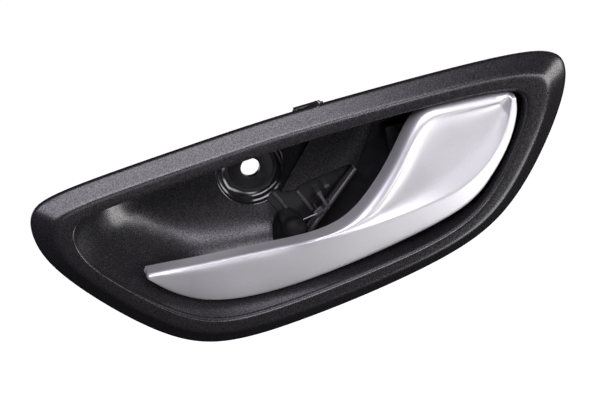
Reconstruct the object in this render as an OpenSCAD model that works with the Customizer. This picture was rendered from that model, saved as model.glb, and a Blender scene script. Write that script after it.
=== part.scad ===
// Car interior door handle: a moulded trim bezel with a finger scoop, a carrier
// screwed behind it, and a painted pull lever that swings on an upright pin.
// X runs along the handle towards the pivot, Y runs into the door, Z is up.
// The origin is on the axis of the fixing screw, at the face its head seats on.

/* [Bezel] */
// Overall length of the bezel
bezel_l = 200; // [188:1:212]
// Overall height of the bezel
bezel_h = 80; // [76:1:86]
// Width of the rim at its left end
rim_w_left = 13.2; // [11:0.2:15]
// Width of the rim at its right end
rim_w_right = 17.6; // [15.6:0.2:18]
// Width of the rim along its top
rim_w_top = 10; // [8.6:0.2:10.6]
// Width of the rim along its bottom
rim_w_bottom = 10.3; // [8.6:0.1:11.2]
// Height of the rim's outer side wall above the door panel
edge_h = 1.4; // [0.8:0.1:2]
// Height of the inner lip above the door panel
lip_h = 6.4; // [5.4:0.1:7.4]
// Wall thickness of the bezel
bezel_wall = 2.4; // [1.8:0.1:2.8]
// Depth of the scoop floor behind the door panel face
scoop_d = 17; // [15:0.5:20]
// How steeply the scoop wall leaves the lip
scoop_curve = 2.4; // [1.8:0.1:3.2]

/* [Screw pocket] */
// Radius of the fixing screw's hole
screw_hole_r = 3.6; // [2.6:0.1:4.2]
// Radius of the pocket that sinks the screw head
pocket_r = 13; // [10:0.5:14]
// Depth of the screw's seat behind the scoop floor
seat_d = 3; // [2.9:0.1:4.5]

/* [Carrier] */
// Thickness of the carrier's base plate
plate_t = 2.4; // [2:0.2:3.2]
// Thickness of each pivot ear
ear_t = 4; // [3:0.2:5]
// Thickness of the carrier's stiffening ribs
rib_t = 1.6; // [1.2:0.1:2.2]
// Radius of the seat for the cable sheath
sheath_r = 3.5; // [2.5:0.1:4]

/* [Lever] */
// Wall thickness of the painted lever shell
shell_wall = 2; // [1.6:0.1:2.2]
// Depth of the lever from its front ridge to its back rim
lever_d = 7.9; // [7:0.1:8.2]
// Depth of the hollow in the thumb paddle
paddle_hollow = 2.5; // [0:0.1:2.8]
// Width of the raised border round the paddle
border_w = 3.4; // [2:0.1:4.4]
// How far the blade's front falls back to its lower edge
blade_fall = 3.2; // [1:0.1:3.6]
// Gap between the shell and the core inside it
core_gap = 0.2; // [0.15:0.05:0.3]

/* [Pivot] */
// Distance of the pivot pin from the lever's right edge
pivot_inset = 27; // [24:0.5:29]
// Depth of the pivot pin behind the door panel face
pivot_y = 5.5; // [5.3:0.1:7]
// Radius of the pivot pin
pin_r = 2; // [1.5:0.1:2.2]
// Running clearance between pin and bushes
pin_clear = 0.05; // [0.02:0.01:0.1]
// Radius of the lever's barrels and of the ears' ends
barrel_r = 4.6; // [4.3:0.1:5]
// Height between the two pivot ears
ear_span = 24; // [20:0.5:26]
// Distance of the cable's line behind the carrier plate
cable_out = 8.1; // [7.6:0.1:10]
// Wire radius of the return spring
wire_r = 0.6; // [0.4:0.05:0.7]

/* [Hidden] */
$fn = 48;
seat_y = scoop_d + seat_d;
crank_l = seat_y + plate_t + cable_out - pivot_y;

// Styling grid: outlines are drawn for a bezel of 200 by 80 and stretched to size
function gx(x) = x * bezel_l / 200;
function gz(z) = z * bezel_h / 80;

function reverse(v) = [for (k = [len(v) - 1:-1:0]) v[k]];

// Bezel outline, clockwise from the left end: x, z of the outer edge's control
// point, how far the lip is eased outwards there, and x, z of the scoop floor's
OUTLINE = [
    [-95.5, 16, 0, -50, 11],
    [-94, 26.5, 0, -55, 17],
    [-82, 29.5, 0, -52, 18],
    [-60, 31, 0, -42, 19],
    [-30, 32.5, 0, -25, 20],
    [0, 33.7, 0, 0, 21.3],
    [35, 33.2, 0.5, 30, 21.8],
    [70, 32.3, 0.8, 60, 21.2],
    [97.5, 30.3, 0.4, 81, 20.3],
    [107, 25, 0.5, 87.4, 17.2],
    [104.5, 11.5, 0.3, 86, 7.5],
    [91.5, -9, 0.8, 76, -8],
    [76.5, -26, 2, 64.2, -20.8],
    [58.5, -36.5, 0.5, 46, -26],
    [25, -42.7, -0.5, 18, -26],
    [-10, -46, -0.1, -8, -3],
    [-41, -46.5, 0.3, -30, 1],
    [-60, -36, 0.2, -41, 3],
    [-80, -14, -0.8, -47, 6],
    [-92.5, 4, -0.6, -50, 9]
];

// Uniform cubic B-spline weights at t, from 0 to 1 along a span
function spline_w(t) = [pow(1 - t, 3), 3 * t * t * t - 6 * t * t + 4,
                        -3 * t * t * t + 3 * t * t + 3 * t + 1, t * t * t] / 6;
function spline_at(a, b, c, d, t) = let(w = spline_w(t)) a * w[0] + b * w[1] + c * w[2] + d * w[3];
// Point at u, from 0 to 1, on a closed loop of control points
function loop_at(p, u) = let(n = len(p), i = floor(u * n), t = u * n - i)
    spline_at(p[(i + n - 1) % n], p[i % n], p[(i + 1) % n], p[(i + 2) % n], t);
// Point at u, counted in control points, on an open curve that starts and ends on them
function curve_at(p, u) = let(n = len(p), i = min(floor(u), n - 2), t = u - i,
                              a = i == 0 ? 2 * p[0] - p[1] : p[i - 1],
                              d = i == n - 2 ? 2 * p[n - 1] - p[n - 2] : p[i + 2])
    spline_at(a, p[i], p[i + 1], d, t);

// Loops of the bezel: outer edge, lip and scoop floor
outer_pts = [for (q = OUTLINE) [gx(q[0]), gz(q[1])]];
outer_box = [for (k = [0:199]) loop_at(outer_pts, k / 200)];
x_lo = min([for (q = outer_box) q[0]]);
x_hi = max([for (q = outer_box) q[0]]);
z_lo = min([for (q = outer_box) q[1]]);
z_hi = max([for (q = outer_box) q[1]]);
lip_mid = [(x_lo + rim_w_left + x_hi - rim_w_right) / 2, (z_lo + rim_w_bottom + z_hi - rim_w_top) / 2];
lip_size = [x_hi - x_lo - rim_w_left - rim_w_right, z_hi - z_lo - rim_w_bottom - rim_w_top];
function squeeze(q) = [lip_mid[0] + (q[0] - (x_lo + x_hi) / 2) * lip_size[0] / (x_hi - x_lo),
                       lip_mid[1] + (q[1] - (z_lo + z_hi) / 2) * lip_size[1] / (z_hi - z_lo)];
function away(q, d) = q + d * (q - lip_mid) / norm(q - lip_mid);
lip_pts = [for (k = [0:len(OUTLINE) - 1]) away(squeeze(outer_pts[k]), OUTLINE[k][2])];
floor_pts = [for (q = OUTLINE) [gx(q[3]), gz(q[4])]];

// Ring of points: t runs from the outer edge, 0, to the lip, 1, and s from there to the floor
RING_N = 64;
function ring(t, s, y) = let(p = [for (k = [0:len(OUTLINE) - 1])
        (outer_pts[k] + t * (lip_pts[k] - outer_pts[k])) * (1 - s) + s * floor_pts[k]])
    [for (k = [0:RING_N - 1]) let(q = loop_at(p, k / RING_N)) [q[0], y, q[1]]];

// Depth of the scoop's face at s
lip_foot = 2;
function scoop_y(s) = -lip_h + lip_foot + (scoop_d + lip_h - lip_foot) * (1 - pow(1 - s, scoop_curve));
// Share of the rim's width that one bezel wall takes up
wall_share = bezel_wall / rim_w_top;
wall_t = 1.07;
SCOOP_STEPS = [1, 0.8, 0.62, 0.46, 0.32, 0.2, 0.1, 0.04, 0];
RIM_STEPS = [[1.04, 0.86], [0.98, 0.97], [0.92, 1], [0.6, 0.97], [0.53, 0.93], [0.46, 0.84]];
// Faces of the bezel at a share d of the wall behind the front, 0, and up to the back, 1
function scoop_skin(d, steps) = [for (s = steps)
    ring(wall_t - wall_share * d, s, scoop_y(s) + bezel_wall * d * min(1, 1.4 * s))];
function rim_skin(d) = [for (q = RIM_STEPS) ring(q[0] - wall_share * d, 0, bezel_wall * d - q[1] * lip_h)];
front_edge = [ring(0.03, 0, -edge_h - 0.35), ring(0, 0, -edge_h + 0.3), ring(0, 0, 0)];
back_rim = [ring(wall_share * 0.7, 0, 0), ring(wall_share * 0.75, 0, bezel_wall - edge_h - 1.3),
            ring(0.5, 0, bezel_wall - 0.86 * lip_h), ring(wall_t - wall_share, 0, bezel_wall - lip_h)];
bezel_skins = concat(scoop_skin(0, SCOOP_STEPS), rim_skin(0), front_edge, back_rim,
                     scoop_skin(1, [0, 0.1, 0.28, 0.55, 0.8, 1]));
// Space in front of the wall's middle, which trims what stands behind the bezel
above = -40;
front_space = concat([ring(wall_share * 0.3, 0, above), ring(wall_share * 0.3, 0, 1 - edge_h)],
                     reverse(rim_skin(0.5)), reverse(scoop_skin(0.5, [1, 0.8, 0.62, 0.46, 0.32, 0.2, 0.1, 0])));

// Solid between a stack of rings, closed by a cap on the first and the last
module loft(rings) {
    n = len(rings[0]);
    m = len(rings);
    polyhedron(
        points = [for (r = rings) for (q = r) q],
        faces = concat(
            [[for (k = [0:n - 1]) k]],
            [for (j = [0:m - 2]) for (k = [0:n - 1]) let(a = j * n + k, b = j * n + (k + 1) % n)
                each [[a, a + n, b], [b, a + n, b + n]]],
            [[for (k = [n - 1:-1:0]) (m - 1) * n + k]]),
        convexity = 8);
}

// Moves everything from the styling grid to the part's own origin
screw_at = [gx(-12.2), gz(9.5)];
module placed() {
    translate([-screw_at[0], -seat_y, -screw_at[1]]) children();
}
// Extrudes a plan drawn in X and Z from one depth to another
module deep(y0, y1) {
    translate([0, y1, 0]) rotate([90, 0, 0]) linear_extrude(y1 - y0) children();
}
module peg(at, r, y0, y1, facets = 48) {
    translate([at[0], y1, at[1]]) rotate([90, 0, 0]) cylinder(r = r, h = y1 - y0, $fn = facets);
}
module upright(at, r, z0, z1) {
    translate([at[0], at[1], z0]) cylinder(r = r, h = z1 - z0);
}

// Mechanism window, lever well and the bulkhead between them
window_plan = [for (q = [[-9.6, -3.4], [-5.5, -0.4], [-3.6, -2.4], [1, -3], [4, -1.6], [12, -0.6],
                         [23, 0.6], [24.2, -0.2], [-0.2, -19.5], [-2, -21], [-11.5, -20],
                         [-9.5, -13], [-6.8, -9.2]]) [gx(q[0]), gz(q[1])]];
well_plan = [for (q = [[1.2, -21.4], [25.4, -2.2], [36, 14], [42, 18.5], [49, 22.9], [58, 22.9],
                       [70, 22.1], [80, 21.3], [86.6, 19], [87.6, 11], [82.4, -2.6], [75.4, -12.2],
                       [66.4, -20.6], [46, -24], [26, -23.5]]) [gx(q[0]), gz(q[1])]];
bulkhead = [for (q = [[0.5, -20.5], [24.7, -1.3]]) [gx(q[0]), gz(q[1])]];
bulkhead_top = [12, 15];
bulkhead_t = 1.6;
corner_r = 1;
well_y = -1.4;
window_y = 2;
collar_t = 1.6;
collar_h = 7;
pocket_top = 9;
module rounded(r) {
    offset(r = r) offset(delta = -r) children();
}
// Screw pocket: a tapered round recess under the lip
pocket_foot = 10;
module under_lip() {
    intersection() {
        children();
        translate([screw_at[0] - 40, screw_at[1] - 40]) square([80, 40 + pocket_top]);
    }
}
module pocket_plan(r) {
    under_lip() translate(screw_at) circle(r = r);
}
// Shallow step from the pocket to a straight edge beside the mechanism window
step_plan = [for (q = [[-10, 18.2], [-10, 0], [-5.6, -2.6], [-4.2, -2.2], [14.4, 18.2]])
    [gx(q[0]), gz(q[1])]];
step_d = 1.3;

// Places round the rim: screw towers, clip towers and the gussets between them
carrier_screws = [[gx(-14), gz(-37)], [gx(88), gz(-3)], [gx(34), gz(-35)]];
tower_r = 3.3;
pilot_r = 1.5;
pilot_top = 4;
clip_w = 11;
clip_len = 13;
tongue_t = 2.6;
// Each clip: its place on the rim and the way its outer spring faces, in degrees from +X
clips = [[gx(12), gz(28.4), 90], [gx(-26), gz(-40.6), 270], [gx(-87.5), gz(14.5), 180], [gx(97), gz(14), 330]];
gussets = [for (k = [0:15]) (k + 0.5) / 16];
locators = [[gx(-82), gz(6)], [gx(58), gz(-29.5)]];
locator_r = 2;
// Rounded block behind the rim's top edge, beside the upper clip
clip_bump = [[gx(7.6), gz(30.4)], [gx(14), gz(31.9)]];
// Snap hooks over the carrier plate's top edge
hooks = [gx(12), gx(32)];
hook_w = 12;
plate_top = gz(18.6);
tongue_root = -lip_h;

module clip_frame(c) {
    translate([c[0], 0, c[1]]) rotate([0, -c[2], 0]) children();
}
// Tongue that a panel clip slides over, local X facing the clip's outer spring
module tongue() {
    translate([-tongue_t / 2, tongue_root, -clip_w / 2]) cube([tongue_t, clip_len - 1.4 - tongue_root, clip_w]);
}

module bezel_behind() {
    deep(scoop_d - collar_h, seat_y) offset(r = collar_t) pocket_plan(pocket_r);
    deep(tongue_root, seat_y) offset(r = collar_t) polygon(well_plan);
    for (at = carrier_screws) {
        peg(at, tower_r, tongue_root, seat_y, 20);
    }
    for (c = clips) {
        clip_frame(c) tongue();
    }
    for (u = gussets) {
        a = loop_at(outer_pts, u);
        b = loop_at(lip_pts, u);
        hull() {
            peg(a + (b - a) * 0.1, 0.6, -edge_h, -0.6, 6);
            peg(a + (b - a) * 0.85, 0.6, -lip_h + 1, 3, 6);
        }
    }
    for (at = locators) {
        peg(at, locator_r, tongue_root, seat_y, 16);
        peg(at, locator_r - 0.5, seat_y - 1, seat_y + 4, 32);
    }
    hull() {
        peg(clip_bump[0], 1, -2, 3.8);
        peg(clip_bump[1], 1.7, -2, 3.8);
    }
    for (x = hooks) {
        behind = seat_y + plate_t + 0.1;
        translate([x - hook_w / 2, scoop_d - 2, plate_top + 0.1])
            cube([hook_w, behind + 1.8 - scoop_d + 2, 1.8]);
        translate([x - hook_w / 2, behind, plate_top - 1.1]) cube([hook_w, 1.8, 2]);
    }
}

module bulkhead_wall() {
    hull() {
        peg(bulkhead[0], bulkhead_t / 2, bulkhead_top[0], seat_y, 8);
        peg(bulkhead[1], bulkhead_t / 2, bulkhead_top[1], seat_y, 8);
    }
}
// Space of the screw pocket: straight to the scoop's floor, then tapered to the seat
module pocket_space() {
    deep(above, scoop_d) pocket_plan(pocket_r);
    hull() {
        deep(scoop_d - 0.01, scoop_d) pocket_plan(pocket_r);
        deep(seat_y, seat_y + 1) pocket_plan(pocket_foot);
    }
}

module bezel() {
    $fn = 20;
    color([0.07, 0.07, 0.075]) placed() {
        difference() {
            union() {
                loft(bezel_skins);
                difference() {
                    bezel_behind();
                    loft(front_space);
                }
            }
            pocket_space();
            deep(scoop_d - 2, scoop_d + step_d) polygon(step_plan);
            deep(window_y, seat_y + 1) rounded(corner_r) polygon(window_plan);
            deep(well_y, seat_y + 1) rounded(2) polygon(well_plan);
            for (at = carrier_screws) {
                peg(at, pilot_r, pilot_top, seat_y + 1, 20);
            }
        }
        bulkhead_wall();
    }
}

// Lever curves, each from the blade's tip to the paddle's top corner: the
// ridge, the lower and right-hand edge, and the upper and left-hand edge
ridge_pts = [for (q = [[-60.3, -8.6], [-53, -9.3], [-42, -10.8], [-28, -12], [-12, -13.6], [4, -15],
                       [20, -15.3], [34, -14.4], [47, -13.8], [59, -11.4], [69, -5.5], [77, 3.2],
                       [81, 12], [82.6, 17.5]]) [gx(q[0]), gz(q[1])]];
lower_pts = [for (q = [[-60.6, -10], [-57, -15.5], [-47, -25], [-32, -29.7], [-15, -30.9], [2, -30.2],
                       [20, -28.5], [36, -25.8], [50, -23], [63, -18.6], [71.5, -9.8], [79.5, -0.3],
                       [84.4, 11], [84.2, 17]]) [gx(q[0]), gz(q[1])]];
upper_pts = [for (q = [[-59.8, -8], [-53, -8.6], [-42, -10.1], [-28, -11.3], [-12, -12.9], [2, -14.3],
                       [15, -12.6], [26, -4.5], [37, 7], [47.5, 22.5], [58, 21.5], [69, 20.6],
                       [78, 19.9], [81.7, 19]]) [gx(q[0]), gz(q[1])]];
lever_ends = [0, len(ridge_pts) - 1];
ridge_y = -6.4;
back_y = ridge_y + lever_d;
lever_right = max([for (k = [0:40]) curve_at(lower_pts, lever_ends[1] * k / 40)[0]]);
pivot = [lever_right - pivot_inset, pivot_y];

// One section of the lever, g inside its outer surface, its front sunk by more, closed at depth y1
function lever_section(u, g, y1, more = 0) =
    let(top = curve_at(upper_pts, u), crest = curve_at(ridge_pts, u), low = curve_at(lower_pts, u),
        f = (low - top) / norm(low - top), a = top + f * g, d = low - f * g,
        inset = min(g, 0.45 * norm(low - crest) - max(0, g - shell_wall)),
        c0 = crest + f * inset, w = norm(c0 - a), e = (c0 - a) / w, v = norm(d - c0),
        b = min(border_w, 0.34 * w), hollow = min(paddle_hollow, 0.16 * w),
        fall = blade_fall * min(1, v / 13), y0 = ridge_y + g + more)
    [for (q = [[a, y1], [a + e * 0.1 * b, y0 + 2.6], [a + e * 0.42 * b, y0 + 0.8], [a + e * b, y0],
               [a + e * (b + 0.16 * (w - b)), y0 + 0.62 * hollow],
               [a + e * (b + 0.42 * (w - b)), y0 + hollow],
               [a + e * (b + 0.72 * (w - b)), y0 + 0.72 * hollow],
               [a + e * (b + 0.93 * (w - b)), y0 + 0.14 * hollow],
               [c0, y0 + 0.05], [c0 + (d - c0) * 0.08, y0 + 0.03 * fall + 0.25],
               [c0 + (d - c0) * 0.35, y0 + 0.28 * fall + 0.2], [c0 + (d - c0) * 0.65, y0 + 0.62 * fall + 0.1],
               [c0 + (d - c0) * 0.9, y0 + fall], [d - f * 0.3, y0 + fall + 0.8],
               [d, y0 + fall + 1.8], [d, y1]])
        [q[0][0], q[1], q[0][1]]];
LEVER_N = 42;
// Stations along the lever: even steps from one wall's thickness inside its two ends
end_step = shell_wall / 6;
function station(k) = end_step + (lever_ends[1] - 2 * end_step) * k / LEVER_N;
module core_loft(g, y1) {
    loft([for (k = [1:LEVER_N - 1]) lever_section(station(k), g, y1, 3 * core_gap)]);
}
// The shell's section: the outer face out and the inner face back, so one loft makes a cup
function shell_section(u, full) =
    let(outside = lever_section(u, 0, back_y), inside = lever_section(u, shell_wall, back_y),
        lid = back_y - 0.4)
    concat(outside, [for (q = reverse(inside))
        [q[0], q[1] == back_y || full ? q[1] : lid + 0.02 * (q[1] - ridge_y), q[2]]]);
module shell_loft() {
    loft(concat([shell_section(0, false)], [for (k = [0:LEVER_N]) shell_section(station(k), true)],
                [shell_section(lever_ends[1], false)]));
}

// Screws that hold the shell to the core
lever_screws = [[gx(-28), gz(-20)], [gx(28), gz(-20.5)]];
lever_screw_r = 1.1;
boss_r = 2.6;
boss_sink = 1.5;
core_back = back_y - 1.1;

module lever_shell() {
    color([0.72, 0.73, 0.75]) placed() {
        shell_loft();
        for (at = lever_screws) {
            difference() {
                peg(at, boss_r, ridge_y + 1.6, core_back - boss_sink);
                peg(at, lever_screw_r, ridge_y + 3, core_back);
            }
        }
    }
}

// Pivot stack along Z, counted from the middle of the two ears
ear_z = ear_span / 2;
bush_r = pin_r + 1;
flange_t = 0.9;
axial_gap = 0.1;
barrel_z = ear_z - flange_t - axial_gap;
spring_half = 3.6;
barrel_in = spring_half + 0.4;
crank_z = [barrel_in + 0.5, barrel_in + 4.5];
crank_w = 3;
eye_bore_r = 3.2;
eye_r = eye_bore_r + 1.2;
crank_tip = [pivot[0], pivot[1] + crank_l];
crank_mid_z = (crank_z[0] + crank_z[1]) / 2;
spring_r = pin_r + 1.2;
pad_x = 11;

module lever_core() {
    screw_clear = 0.3;
    color([0.06, 0.06, 0.065]) placed() difference() {
        union() {
            difference() {
                core_loft(shell_wall + core_gap, core_back);
                for (at = lever_screws) {
                    peg(at, boss_r + core_gap, ridge_y, core_back - boss_sink + 0.1);
                    peg(at, lever_screw_r + screw_clear, ridge_y, core_back + 1);
                }
            }
            for (side = [-1, 1]) {
                z0 = side > 0 ? barrel_in : -barrel_z;
                upright(pivot, barrel_r, z0, z0 + barrel_z - barrel_in);
                translate([pivot[0] - barrel_r, core_back - 1, z0])
                    cube([2 * barrel_r, pivot[1] - core_back + 1, barrel_z - barrel_in]);
            }
            translate([pivot[0] + pad_x - 2, core_back - 0.5, 0])
                cube([4, pivot[1] - spring_r - wire_r - core_back + 0.45, spring_half]);
            translate([0, 0, crank_z[0]]) linear_extrude(crank_z[1] - crank_z[0]) {
                polygon([[pivot[0] - crank_w - 1, pivot[1]], [pivot[0] + crank_w + 1, pivot[1]],
                         [pivot[0] + crank_w, crank_tip[1]], [pivot[0] - crank_w, crank_tip[1]]]);
                translate(crank_tip) circle(r = eye_r);
            }
        }
        upright(pivot, bush_r, -ear_z, -barrel_in + 1);
        upright(pivot, bush_r, barrel_in - 1, ear_z);
        upright(crank_tip, eye_bore_r, crank_z[0] - 1, crank_z[1] + 1);
    }
}

module pivot_pin() {
    head_r = pin_r + 1.2;
    color([0.75, 0.75, 0.77]) placed() difference() {
        union() {
            upright(pivot, pin_r, -ear_z - ear_t - 2, ear_z + ear_t + 0.6);
            upright(pivot, head_r, ear_z + ear_t, ear_z + ear_t + 1.3);
        }
        difference() {
            upright(pivot, pin_r + 1, -ear_z - ear_t - 1, -ear_z - ear_t);
            upright(pivot, pin_r - 0.4, -ear_z - ear_t - 2, -ear_z - ear_t + 1);
        }
    }
}

module pin_retainer() {
    ring_t = 0.8;
    z0 = -ear_z - ear_t - 0.9;
    color([0.55, 0.56, 0.58]) placed() difference() {
        upright(pivot, pin_r + 1.5, z0, z0 + ring_t);
        upright(pivot, pin_r - 0.35, z0 - 1, z0 + ring_t + 1);
        translate([pivot[0] - 1.1, pivot[1], z0 - 1]) cube([2.2, 9, ring_t + 2]);
    }
}

module bush(side) {
    tube = barrel_z - barrel_in;
    color([0.9, 0.88, 0.8]) placed() translate([pivot[0], pivot[1], 0]) mirror([0, 0, side > 0 ? 0 : 1])
        difference() {
            union() {
                translate([0, 0, barrel_in]) cylinder(r = bush_r, h = tube + flange_t / 2);
                translate([0, 0, barrel_z]) cylinder(r = bush_r + 1.2, h = flange_t);
            }
            translate([0, 0, barrel_in - 1]) cylinder(r = pin_r + pin_clear, h = tube + 4);
        }
}

// Torsion spring: a coil with one leg on the lever's pad and one on the carrier's post
spring_turns = 4.25;
leg_l = 11.5;
module return_spring() {
    steps = 12;
    coil_n = spring_turns * steps;
    z0 = -spring_half + wire_r + 0.2;
    rise = 2 * (spring_half - wire_r - 0.2) / coil_n;
    start_a = 180;
    path = concat(
        [for (y = [leg_l, leg_l / 2, leg_l / 6]) [-spring_r, y, z0]],
        [for (k = [0:coil_n]) let(a = start_a + 360 * k / steps)
            [spring_r * cos(a), spring_r * sin(a), z0 + rise * k]],
        [[pad_x / 2, -spring_r, -z0], [pad_x + 1, -spring_r, -z0]]);
    color([0.78, 0.78, 0.8]) placed() translate([pivot[0], pivot[1], 0]) wire(path, wire_r);
}
// Round wire along a path of points that never runs straight up
module wire(path, r) {
    sides = 6;
    n = len(path);
    loft([for (k = [0:n - 1]) let(d = path[min(k + 1, n - 1)] - path[max(k - 1, 0)], t = d / norm(d),
            side = cross(t, [0, 0, 1]) / norm(cross(t, [0, 0, 1])), up = cross(side, t))
        [for (j = [0:sides - 1]) path[k] + r * (cos(360 * j / sides) * side + sin(360 * j / sides) * up)]]);
}

// Rubber buffers: one under the blade at rest, one at the crank's open stop
buffer_at = [gx(-3.5), gz(-13)];
buffer_r = 4.6;
buffer_gap = 0.3;
stem_r = 1.8;
post_y = 8;
module rest_buffer() {
    nose_y = back_y + buffer_gap;
    len_dome = post_y - nose_y;
    color([0.1, 0.1, 0.1]) placed() translate([buffer_at[0], post_y, buffer_at[1]]) rotate([90, 0, 0]) {
        rotate_extrude() {
            square([buffer_r, len_dome - 2.4]);
            intersection() {
                translate([0, len_dome - buffer_r * 1.25]) circle(r = buffer_r * 1.25);
                translate([0, len_dome - 2.4]) square([buffer_r, 3]);
            }
        }
        translate([0, 0, -5]) cylinder(r = stem_r - 0.05, h = 5.5);
    }
}

open_deg = 32;
stop_r = 2.2;
stop_along = 16;
stop_off = crank_w + 0.4 + stop_r + buffer_gap;
stop_at = pivot + stop_along * [-sin(open_deg), cos(open_deg)] + stop_off * [-cos(open_deg), -sin(open_deg)];
stop_z = [crank_z[0] - 1, crank_z[1] + 1];
module open_buffer() {
    color([0.1, 0.1, 0.1]) placed() upright(stop_at, stop_r, stop_z[0], stop_z[1]);
}

module cable_end_bush() {
    color([0.9, 0.88, 0.8]) placed() difference() {
        union() {
            upright(crank_tip, eye_bore_r, crank_z[0] - 0.3, crank_z[1] + 0.3);
            upright(crank_tip, eye_bore_r + 0.9, crank_z[1], crank_z[1] + 1);
        }
        upright(crank_tip, pin_r, crank_z[0] - 1, crank_z[1] + 2);
    }
}

// Carrier behind the scoop: screw seat, window back, pivot ears and cable seat
sheath_x = [gx(83.5), gx(89.5)];
sheath_block = [4.6, 5];
slot_x = [pivot[0] - 15.3, pivot[0] + 4.6];
module bar(a, b, w) {
    d = (b - a) / norm(b - a);
    s = [-d[1], d[0]] * w / 2;
    polygon([a + s, b + s, b - s, a - s]);
}
module carrier_plan() {
    lug_r = tower_r + 1.6;
    roots = [[gx(-10), gz(-20)], [gx(82), gz(3)], [gx(31), gz(-20)]];
    plate = [for (q = [[-22, -2], [-17, -24.5], [24, -25], [46, -25.4], [67.4, -22], [76.8, -13], [84, -3.4],
                       [91, -2], [91, 14.5], [86, 18.6], [-10, 18.6]]) [gx(q[0]), gz(q[1])]];
    polygon(plate);
    under_lip() translate(screw_at) circle(r = pocket_r + 2.2);
    for (k = [0:2]) {
        translate(carrier_screws[k]) circle(r = lug_r);
        bar(carrier_screws[k], roots[k], 2 * lug_r);
    }
}
module ear(z0) {
    base = 8;
    translate([0, 0, z0]) linear_extrude(ear_t) {
        translate(pivot) circle(r = barrel_r);
        polygon([pivot + [-barrel_r, 0], pivot + [barrel_r, 0], [pivot[0] + base, seat_y + 1],
                 [pivot[0] - base, seat_y + 1]]);
    }
}
// Groove that sets the screw's seat, or the pad behind it, apart from the plate round it
module ring_groove(y) {
    seat_r = 8.2;
    groove_d = 0.25;
    difference() {
        peg(screw_at, seat_r + 0.5, y - groove_d, y + groove_d);
        peg(screw_at, seat_r, y - 1, y + 1);
    }
}
module carrier() {
    back = seat_y + plate_t;
    rib_h = 3.5;
    post_w = 1.8;
    web_t = 1.6;
    slot_gap = 0.8;
    color([0.04, 0.04, 0.045]) placed() difference() {
        union() {
            deep(seat_y, back) carrier_plan();
            ear(ear_z);
            ear(-ear_z - ear_t);
            peg(buffer_at, stem_r + 1.6, post_y, seat_y + 1);
            translate([stop_at[0] - 5, stop_at[1] - stop_r - 0.4, stop_z[0] - 2.5])
                cube([5, seat_y - stop_at[1] + stop_r + 1.4, stop_z[1] - stop_z[0] + 5]);
            translate([pivot[0] - spring_r - wire_r - post_w - 0.1, pivot[1] + 6.5, -spring_half - 1.5])
                cube([post_w, seat_y - pivot[1] - 5.5, 4.5]);
            translate([stop_at[0] - 1, stop_at[1] - stop_r - 2.4, stop_z[1] + 1.4])
                cube([pivot[0] - barrel_r - 1 - stop_at[0], seat_y - stop_at[1] + stop_r + 3.4, web_t]);
            translate([sheath_x[0], seat_y, crank_mid_z - sheath_r - 2.4])
                cube([sheath_x[1] - sheath_x[0], crank_tip[1] + 0.35 * sheath_r - seat_y, 2 * sheath_r + 4.8]);
            for (z = [gz(-17), gz(14.5)]) {
                translate([gx(2), back - 1, z]) cube([gx(72), rib_h + 1, rib_t]);
            }
            for (x = [gx(4), gx(20), slot_x[0] - 5.5]) {
                translate([x, back - 1, gz(-17)]) cube([rib_t, rib_h + 1, gz(31.5) + rib_t]);
            }
        }
        peg(screw_at, screw_hole_r, seat_y - 1, back + 1);
        for (at = carrier_screws) {
            peg(at, pilot_r + 0.3, seat_y - 1, back + 1);
        }
        upright(pivot, pin_r + 0.02, -ear_z - ear_t - 1, ear_z + ear_t + 1);
        peg(buffer_at, stem_r, post_y - 1, post_y + 5.2);
        translate([slot_x[0], seat_y - 1, crank_z[0] - slot_gap])
            cube([slot_x[1] - slot_x[0], plate_t + 3, crank_z[1] - crank_z[0] + 2 * slot_gap]);
        for (y = [seat_y, back]) {
            ring_groove(y);
        }
        upright(stop_at, stop_r, stop_z[0], stop_z[1]);
        translate([stop_at[0] - 0.2, stop_at[1] - stop_r - 3, stop_z[0]])
            cube([3, 2 * stop_r + 6, stop_z[1] - stop_z[0]]);
        translate([sheath_x[0] - 1, crank_tip[1], crank_mid_z]) rotate([0, 90, 0])
            cylinder(r = sheath_r, h = sheath_x[1] - sheath_x[0] + 2);
    }
}

// Screws and clips
screw_l = 14.4;
module carrier_screw(k) {
    at = carrier_screws[k];
    top = seat_y + plate_t;
    color([0.7, 0.7, 0.72]) placed() {
        difference() {
            union() {
                peg(at, pilot_r + 1.9, top, top + 2.2);
                peg(at, pilot_r - 0.05, top - screw_l, top + 1);
            }
            translate([at[0], top + 3, at[1]]) rotate([90, 0, 0]) cylinder(r = 1.5, h = 2, $fn = 6);
        }
    }
}
module lever_screw(k) {
    at = lever_screws[k];
    color([0.7, 0.7, 0.72]) placed() difference() {
        union() {
            peg(at, lever_screw_r + 1.1, core_back, core_back + 1.3);
            peg(at, lever_screw_r - 0.05, ridge_y + 4.6, core_back + 0.5);
        }
        translate([at[0], core_back + 2, at[1]]) rotate([90, 0, 0]) cylinder(r = 0.9, h = 1.4, $fn = 6);
    }
}
// Folded spring clip that slides over a tongue, its barb on local +X
module panel_clip(k) {
    sheet = 0.6;
    h = tongue_t / 2 + 0.1;
    tip = clip_len - 1.4 + 0.1;
    barb = 2.2;
    clip_foot = 3.2;
    color([0.6, 0.61, 0.63]) placed() clip_frame(clips[k]) translate([0, 0, -clip_w / 2 + 0.5])
        linear_extrude(clip_w - 1) polygon([
            [-h, clip_foot], [-h, tip], [h, tip], [h, 6], [h + barb, 4.4], [h + barb + 0.5, 4.9],
            [h + sheet + 0.3, 7.4], [h + sheet, tip + sheet], [-h - sheet, tip + sheet],
            [-h - sheet, clip_foot]]);
}

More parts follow.
